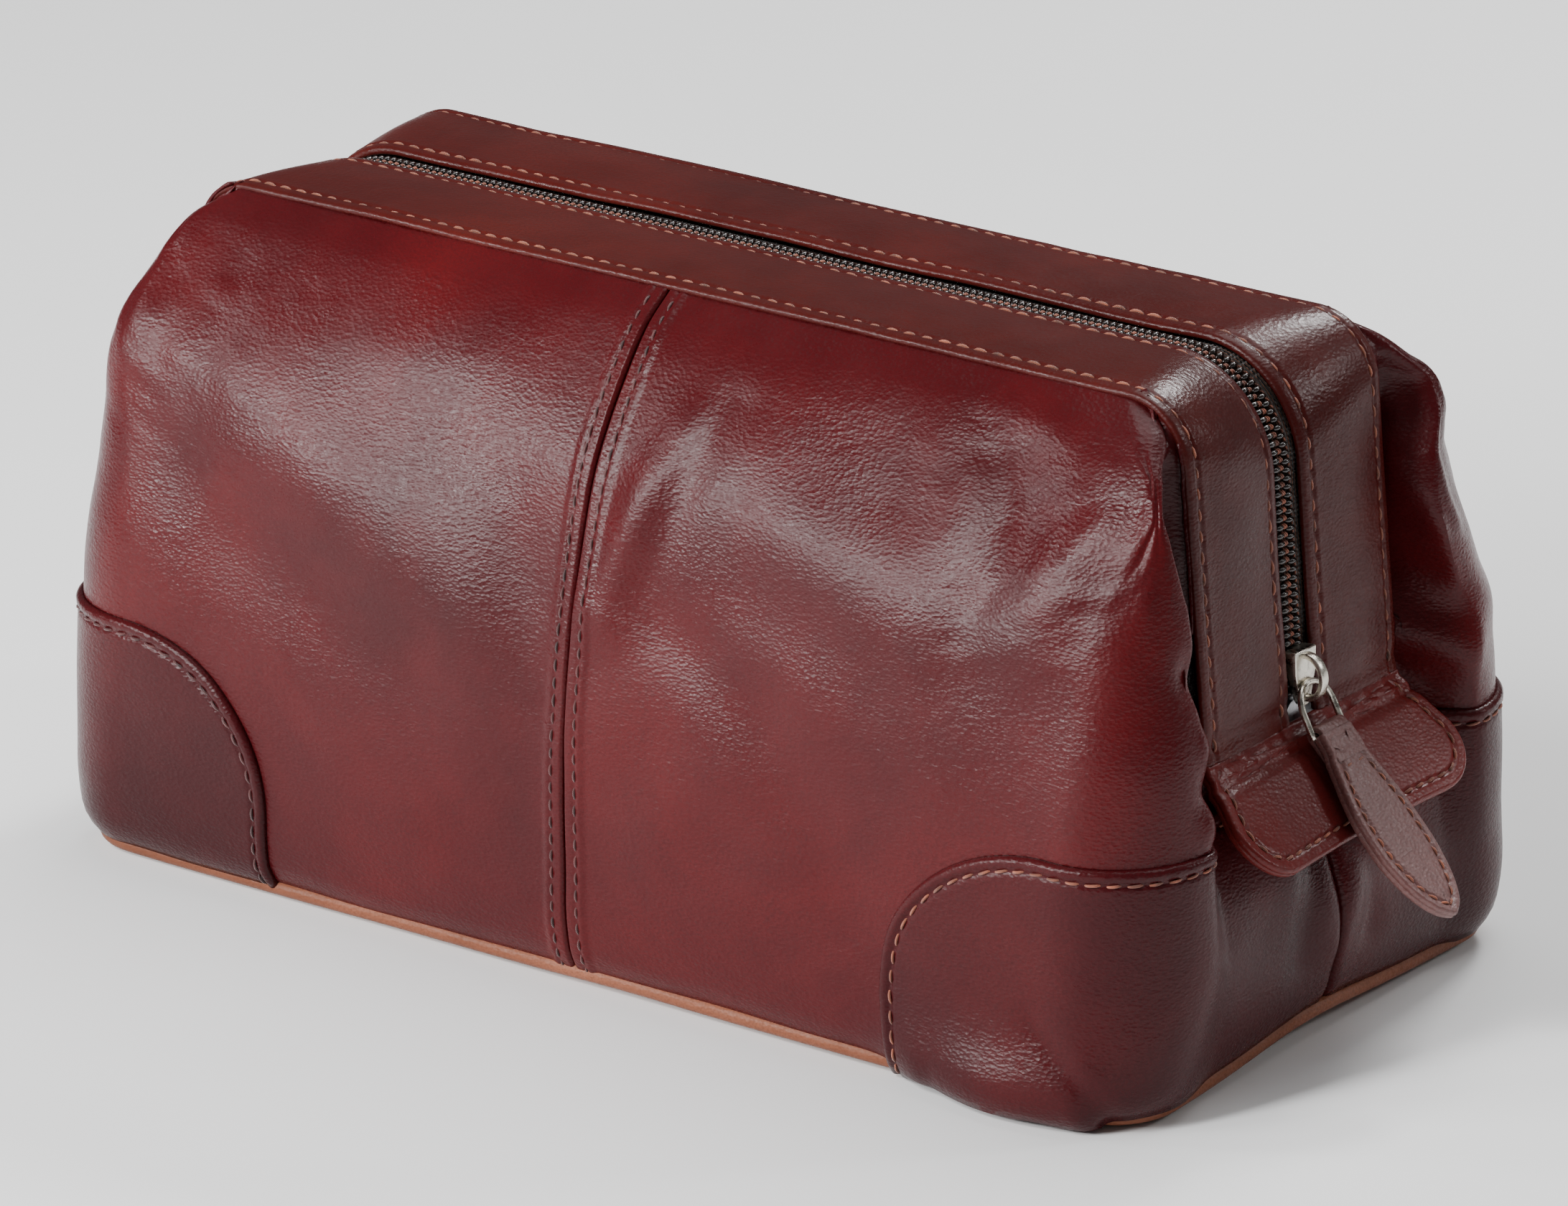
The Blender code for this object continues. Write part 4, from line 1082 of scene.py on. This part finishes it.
def tab_relief(x, y):
    """The tab curls out at its corners, dips in the middle and creases under the facings."""
    crease = (-0.0009 * np.exp(-((y - 0.0048) / 0.0011) ** 2)
              - 0.0004 * np.exp(-((y - 0.0015) / 0.0009) ** 2))
    curl = 0.0016 * smooth(y / TAB_LENGTH) * ((x / FACING_OUTER_Y) ** 2 - 0.35)
    wrinkle = 0.00025 * np.sin(x * 900 + y * 400) * np.exp(-((y - 0.003) / 0.003) ** 2)
    return crease + curl + wrinkle


def make_tabs():
    outline = tab_outline()
    for name, x_sign in (("left", -1), ("right", 1)):
        matrix = leaning_matrix((ARCH_HALF_FOOT * x_sign, 0, HINGE_Z), x_sign, LEAN_ANGLE)
        tab = plate_piece(f"{name}_tab_leather", outline, TAB_THICKNESS, 0.0009, matrix,
                          FACING_ROW, tab_relief)
        dress(tab, "tab_leather", "tab_leather", f"{name}_tab", f"{name}_tab_backing")
        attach(tab, "bag_body")
        across_top = int(2 * FACING_OUTER_Y / OUTLINE_STEP)
        end = len(outline) - across_top - 1
        path, normals = outline_run(outline, FACING_ROW, matrix, 3, end, -0.0001, tab_relief)
        sewing = stitches(f"{name}_tab_stitches", [(path, normals)], 0.0036, seed=51)
        dress(sewing, "thread", "tab_leather")
        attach(sewing, "bag_body")


# ---- Slider, loop and puller ----
def leg_matrix(depth=0.0):
    """X across the bag, Y up the right leg, Z out of its face."""
    origin = ARCH_FOOT + LEG_IN * depth
    matrix = Matrix(((0, LEG_UP[0], -LEG_IN[0]), (1, 0, 0), (0, LEG_UP[1], -LEG_IN[1]))).to_4x4()
    matrix.translation = Vector((origin[0], 0, origin[1]))
    return matrix


def solid_plate(name, outline, low, high, matrix, bevel, wedge=None):
    """An outline extruded from low to high, with bevelled edges; wedge raises its top face."""
    outline = np.asarray(outline, float)
    lift = 0.0 if wedge is None else wedge(outline[:, 1])
    rings = [np.column_stack([outline, np.full(len(outline), low)]),
             np.column_stack([outline, np.full(len(outline), high) + lift])]
    world = np.array(rings) @ np.array(matrix.to_3x3()).T + np.array(matrix.translation)
    obj = tube_object(name, world)
    modifier = obj.modifiers.new("edges", "BEVEL")
    modifier.width = bevel
    modifier.segments = 3
    modifier.limit_method = "ANGLE"
    modifier.angle_limit = math.radians(35)
    return obj


def joined(name, objects):
    """Several objects as one, with their modifiers applied."""
    graph = bpy.context.evaluated_depsgraph_get()
    points, faces = [], []
    for obj in objects:
        bpy.context.view_layer.update()
        mesh = obj.evaluated_get(graph).to_mesh()
        first = len(points)
        points += [obj.matrix_world @ v.co for v in mesh.vertices]
        faces += [tuple(first + i for i in face.vertices) for face in mesh.polygons]
        obj.evaluated_get(graph).to_mesh_clear()
    for obj in objects:
        bpy.data.objects.remove(obj, do_unlink=True)
    return mesh_object(name, np.array(points), faces, 40)


def make_slider():
    matrix = leg_matrix()
    top = SLIDER_TOP + 0.0002
    nose = [(0.0021 * math.cos(a), SLIDER_BOTTOM + 0.0019 + 0.0021 * math.sin(a))
            for a in np.radians(np.linspace(185, 355, 9))]
    shield = nose + [(0.0027, 0.0066), (0.0035, 0.0092), (0.0036, top),
                     (-0.0036, top), (-0.0035, 0.0092), (-0.0027, 0.0066)]
    crown = solid_plate("crown", shield, -0.0010, 0.0007, matrix, 0.00028,
                        lambda y: 0.0007 * smooth((y - 0.004) / 0.009))
    rim = [(-0.0036, top - 0.0012), (0.0036, top - 0.0012), (0.0036, top), (-0.0036, top)]
    lip = solid_plate("lip", rim, -0.0024, 0.0011, matrix, 0.0002)
    lower = [(-0.0036, 0.0055), (0.0036, 0.0055), (0.0036, top), (-0.0036, top)]
    plate = solid_plate("lower", lower, -0.0053, -0.0045, matrix, 0.0002)
    middle = [(-0.0005, 0.0058), (0.0005, 0.0058), (0.0005, 0.0128), (-0.0005, 0.0128)]
    web = solid_plate("web", middle, -0.0050, -0.0005, matrix, 0.0001)
    flanges = []
    for x in (-0.0036, 0.0036):
        edge = [(x - 0.0003, 0.0062), (x + 0.0003, 0.0062), (x + 0.0003, top), (x - 0.0003, top)]
        flanges.append(solid_plate("flange", edge, -0.0050, -0.0036, matrix, 0.00012))
    angles = np.radians(np.linspace(98, -98, 26))
    local = np.stack([0 * angles, 0.0084 + 0.0043 * np.sin(angles), 0.0014 + 0.0036 * np.cos(angles)], -1)
    normal = np.stack([0 * angles, np.sin(angles), np.cos(angles)], -1)
    turn = np.array(matrix.to_3x3())
    bail = swept_strap("bail", local @ turn.T + np.array(matrix.translation), normal @ turn.T,
                       0.00105 + 0 * angles, 0.00055, turn[:, 0])
    slider = joined("slider_nickel", [crown, lip, plate, web, bail] + flanges)
    dress(slider, "hardware_nickel", "hardware_nickel", "slider_body")
    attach(slider, "zip_slider")


def make_loop():
    """A U of round wire through the bail, closed by a bar inside the puller's fold."""
    down = unit(PULLER_PIVOT - LOOP_PIVOT)
    across = np.array([0.0, 1.0, 0.0])
    half = 0.0052
    angles = np.radians(np.linspace(180, 360, 28))
    reach = np.linalg.norm(PULLER_PIVOT - LOOP_PIVOT)
    bend = [LOOP_PIVOT + across * (half * math.cos(a))
            + down * (half + half * math.sin(a) - 0.0006) for a in angles]
    right = [PULLER_PIVOT + across * half + down * d for d in np.linspace(half - reach, 0, 6)]
    bar = [PULLER_PIVOT + across * y for y in np.linspace(half * 0.9, -half * 0.9, 8)]
    left = [PULLER_PIVOT - across * half + down * d for d in np.linspace(0, half - reach, 6)]
    path = resampled(np.array(bend + right + bar + left + bend[:1]), 0.0006)[:-1]
    loop = closed_wire("pull_loop_wire", path, 0.00068)
    dress(loop, "hardware_nickel", "hardware_nickel", "pull_loop")
    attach(loop, "zip_loop")


def puller_outline():
    """A pointed leaf: narrow at the fold, widest past the middle."""
    half = np.array([(0.0050, 0.0002), (0.0053, 0.0040), (0.0062, 0.0085), (0.0076, 0.0140),
                     (0.0085, 0.0200), (0.0086, 0.0260), (0.0077, 0.0320), (0.0058, 0.0373),
                     (0.0030, 0.0411), (0.0, PULLER_LENGTH)])
    t = np.linspace(0, 1, len(half))
    fine = np.linspace(0, 1, 48)
    side = np.stack([hermite(fine, t, half[:, 0]), hermite(fine, t, half[:, 1])], -1)
    line = np.vstack([side, side[-2::-1] * np.array([-1, 1])])
    return resampled(np.vstack([line, line[:1]]), 0.0008)[:-1]


def puller_relief(x, y):
    """A shallow dish between the needle rows, a step under the fold and a curled tip."""
    cushion = 0.0003 * np.cos(np.clip(x / 0.009, -1, 1) * math.pi / 2)
    step = 0.0004 * smooth((0.0060 - y) / 0.0015)
    return cushion + step + 0.0018 * (np.clip(y / PULLER_LENGTH, 0, 1) - 0.5) ** 2 * 2 - 0.0006


def make_puller():
    matrix = leaning_matrix(PULLER_PIVOT, 1, LEAN_ANGLE)
    shift = Matrix.Translation((0, 0, PULLER_THICKNESS / 2))
    outline = puller_outline()
    leaf = plate_piece("leaf", outline, PULLER_THICKNESS, 0.0006, matrix @ shift, PULLER_ROW,
                       puller_relief, 0.0032)
    angles = np.radians(np.linspace(-10, 190, 16))
    radius = 0.00145
    local = np.stack([0 * angles, -radius * np.sin(angles), radius * np.cos(angles)], -1)
    local = np.vstack([[(0, 0.006, radius)], local, [(0, 0.006, -radius)]])
    normal = unit(local * np.array([0, 1, 1]))
    turn = np.array(matrix.to_3x3())
    fold = swept_strap("fold", local @ turn.T + np.array(matrix.translation), normal @ turn.T,
                       np.full(len(local), 0.0045), 0.0006, turn[:, 0])
    puller = joined("puller_leather_leaf", [leaf, fold])
    dress(puller, "puller_leather", "puller_leather", "leather_puller")
    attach(puller, "zip_puller")
    ring = inset_outline(outline, PULLER_ROW)
    ring = ring[ring[:, 1] > PULLER_TOP_ROW]
    split = int(np.argmax(np.linalg.norm(np.diff(ring, axis=0), axis=1))) + 1
    ring = np.vstack([ring[split:], ring[:split]]) if np.linalg.norm(ring[0] - ring[-1]) < 0.004 else ring
    bar = np.array([(-0.0040, PULLER_TOP_ROW), (0.0040, PULLER_TOP_ROW)])
    runs = []
    for line in (ring, resampled(bar, 0.0008)):
        local = np.column_stack([line, PULLER_THICKNESS / 2 + puller_relief(line[:, 0], line[:, 1]) - 0.0001])
        runs.append((local @ turn.T + np.array(matrix.translation), np.tile(turn[:, 2], (len(line), 1))))
    sewing = stitches("puller_stitches", runs, 0.0029, 0.00026, seed=61)
    dress(sewing, "thread", "puller_leather")
    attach(sewing, "zip_puller")


# ---- What stays of the CAD ----
CAD_FINISHES = {
    "front_frame": "steel", "back_frame": "steel", "left_hinge_rivet": "steel", "right_hinge_rivet": "steel",
    "front_frame_sleeve": "lining_cloth", "back_frame_sleeve": "lining_cloth", "base_lining": "lining_cloth",
    "base_board": "board", "zip_end_stop": "hardware_nickel",
}


def finish_cad_nodes():
    for node, material in CAD_FINISHES.items():
        obj = frame["nodes"][node]
        obj.data.materials.clear()
        obj.data.materials.append(MATERIALS[material])


# ---- Studio ----
LIGHT_TARGET = Vector((0, 0, 0.07))


def make_floor():
    reach = 6
    corners = [(-reach, -reach, 0), (reach, -reach, 0), (reach, reach, 0), (-reach, reach, 0)]
    floor = mesh_object("studio_floor", corners, [(0, 1, 2, 3)])
    floor.location.z = -0.0002
    n = Nodes("pale_floor")
    tone = n.ramp(n.noise(3.0), [(0.3, (0.90, 0.90, 0.90)), (0.7, (0.93, 0.93, 0.93))])
    relief = n.bump(n.noise(300), 0.0001, 0.1)
    floor.data.materials.append(n.finish(tone, n.span(n.noise(40), 0.75, 0.85), relief))


def softbox(name, direction, distance, size, power):
    light = bpy.data.lights.new(name, "AREA")
    light.shape = "RECTANGLE"
    light.size, light.size_y = size
    light.energy = power
    obj = bpy.data.objects.new(name, light)
    bpy.context.scene.collection.objects.link(obj)
    away = Vector(direction).normalized()
    obj.location = LIGHT_TARGET + away * distance
    obj.rotation_euler = (-away).to_track_quat("-Z", "Y").to_euler()
    return obj


def make_lights():
    softbox("key", (-0.57, -0.77, 0.29), 1.5, (0.38, 0.22), 15)
    softbox("fill", (-0.25, -0.87, 0.42), 1.5, (0.30, 0.20), 13)
    softbox("side_glow", (-0.77, -0.46, 0.45), 1.5, (0.14, 0.14), 3.5)
    softbox("corner_strip", (-0.15, -0.72, 0.67), 1.5, (0.18, 0.36), 13)
    softbox("back_rim", (-0.02, 0.75, 0.66), 1.3, (0.26, 0.20), 8)
    softbox("end_glow", (0.62, 0.58, 0.44), 1.7, (0.20, 0.24), 4.5)
    softbox("overhead", (0.0, 0.35, 1.0), 2.2, (1.6, 1.6), 28)
    world = bpy.data.worlds.new("studio")
    world.use_nodes = True
    background = world.node_tree.nodes["Background"]
    background.inputs["Color"].default_value = (1.0, 1.0, 1.0, 1.0)
    background.inputs["Strength"].default_value = 0.14
    bpy.context.scene.world = world


CAMERA_AZIMUTH, CAMERA_ELEVATION = math.radians(36.95), math.radians(19.74)
CAMERA_ROLL, CAMERA_TARGET_Z = math.radians(-0.5), 0.0675
CAMERA_DISTANCE, CAMERA_SHIFT, CAMERA_LENS = 1.5072, (0.0019, -0.0065), 171.57


def make_camera():
    back = Vector((math.sin(CAMERA_AZIMUTH) * math.cos(CAMERA_ELEVATION),
                   -math.cos(CAMERA_AZIMUTH) * math.cos(CAMERA_ELEVATION), math.sin(CAMERA_ELEVATION)))
    right = (-back).cross(Vector((0, 0, 1))).normalized()
    up = right.cross(-back)
    place = (Vector((0, 0, CAMERA_TARGET_Z)) + back * CAMERA_DISTANCE
             + right * CAMERA_SHIFT[0] + up * CAMERA_SHIFT[1])
    cos, sin = math.cos(CAMERA_ROLL), math.sin(CAMERA_ROLL)
    matrix = Matrix((cos * right + sin * up, -sin * right + cos * up, back)).transposed().to_4x4()
    matrix.translation = place
    camera = bpy.data.objects.new("camera", bpy.data.cameras.new("camera"))
    bpy.context.scene.collection.objects.link(camera)
    camera.matrix_world = matrix
    camera.data.lens = CAMERA_LENS
    camera.data.sensor_width = 36.0
    camera.data.clip_start, camera.data.clip_end = 0.05, 50.0
    bpy.context.scene.camera = camera


make_camera()
make_floor()
make_lights()
make_panels()
make_linings()
make_patches()
make_base()
make_facings()
make_zip()
make_tabs()
make_slider()
make_loop()
make_puller()
finish_cad_nodes()
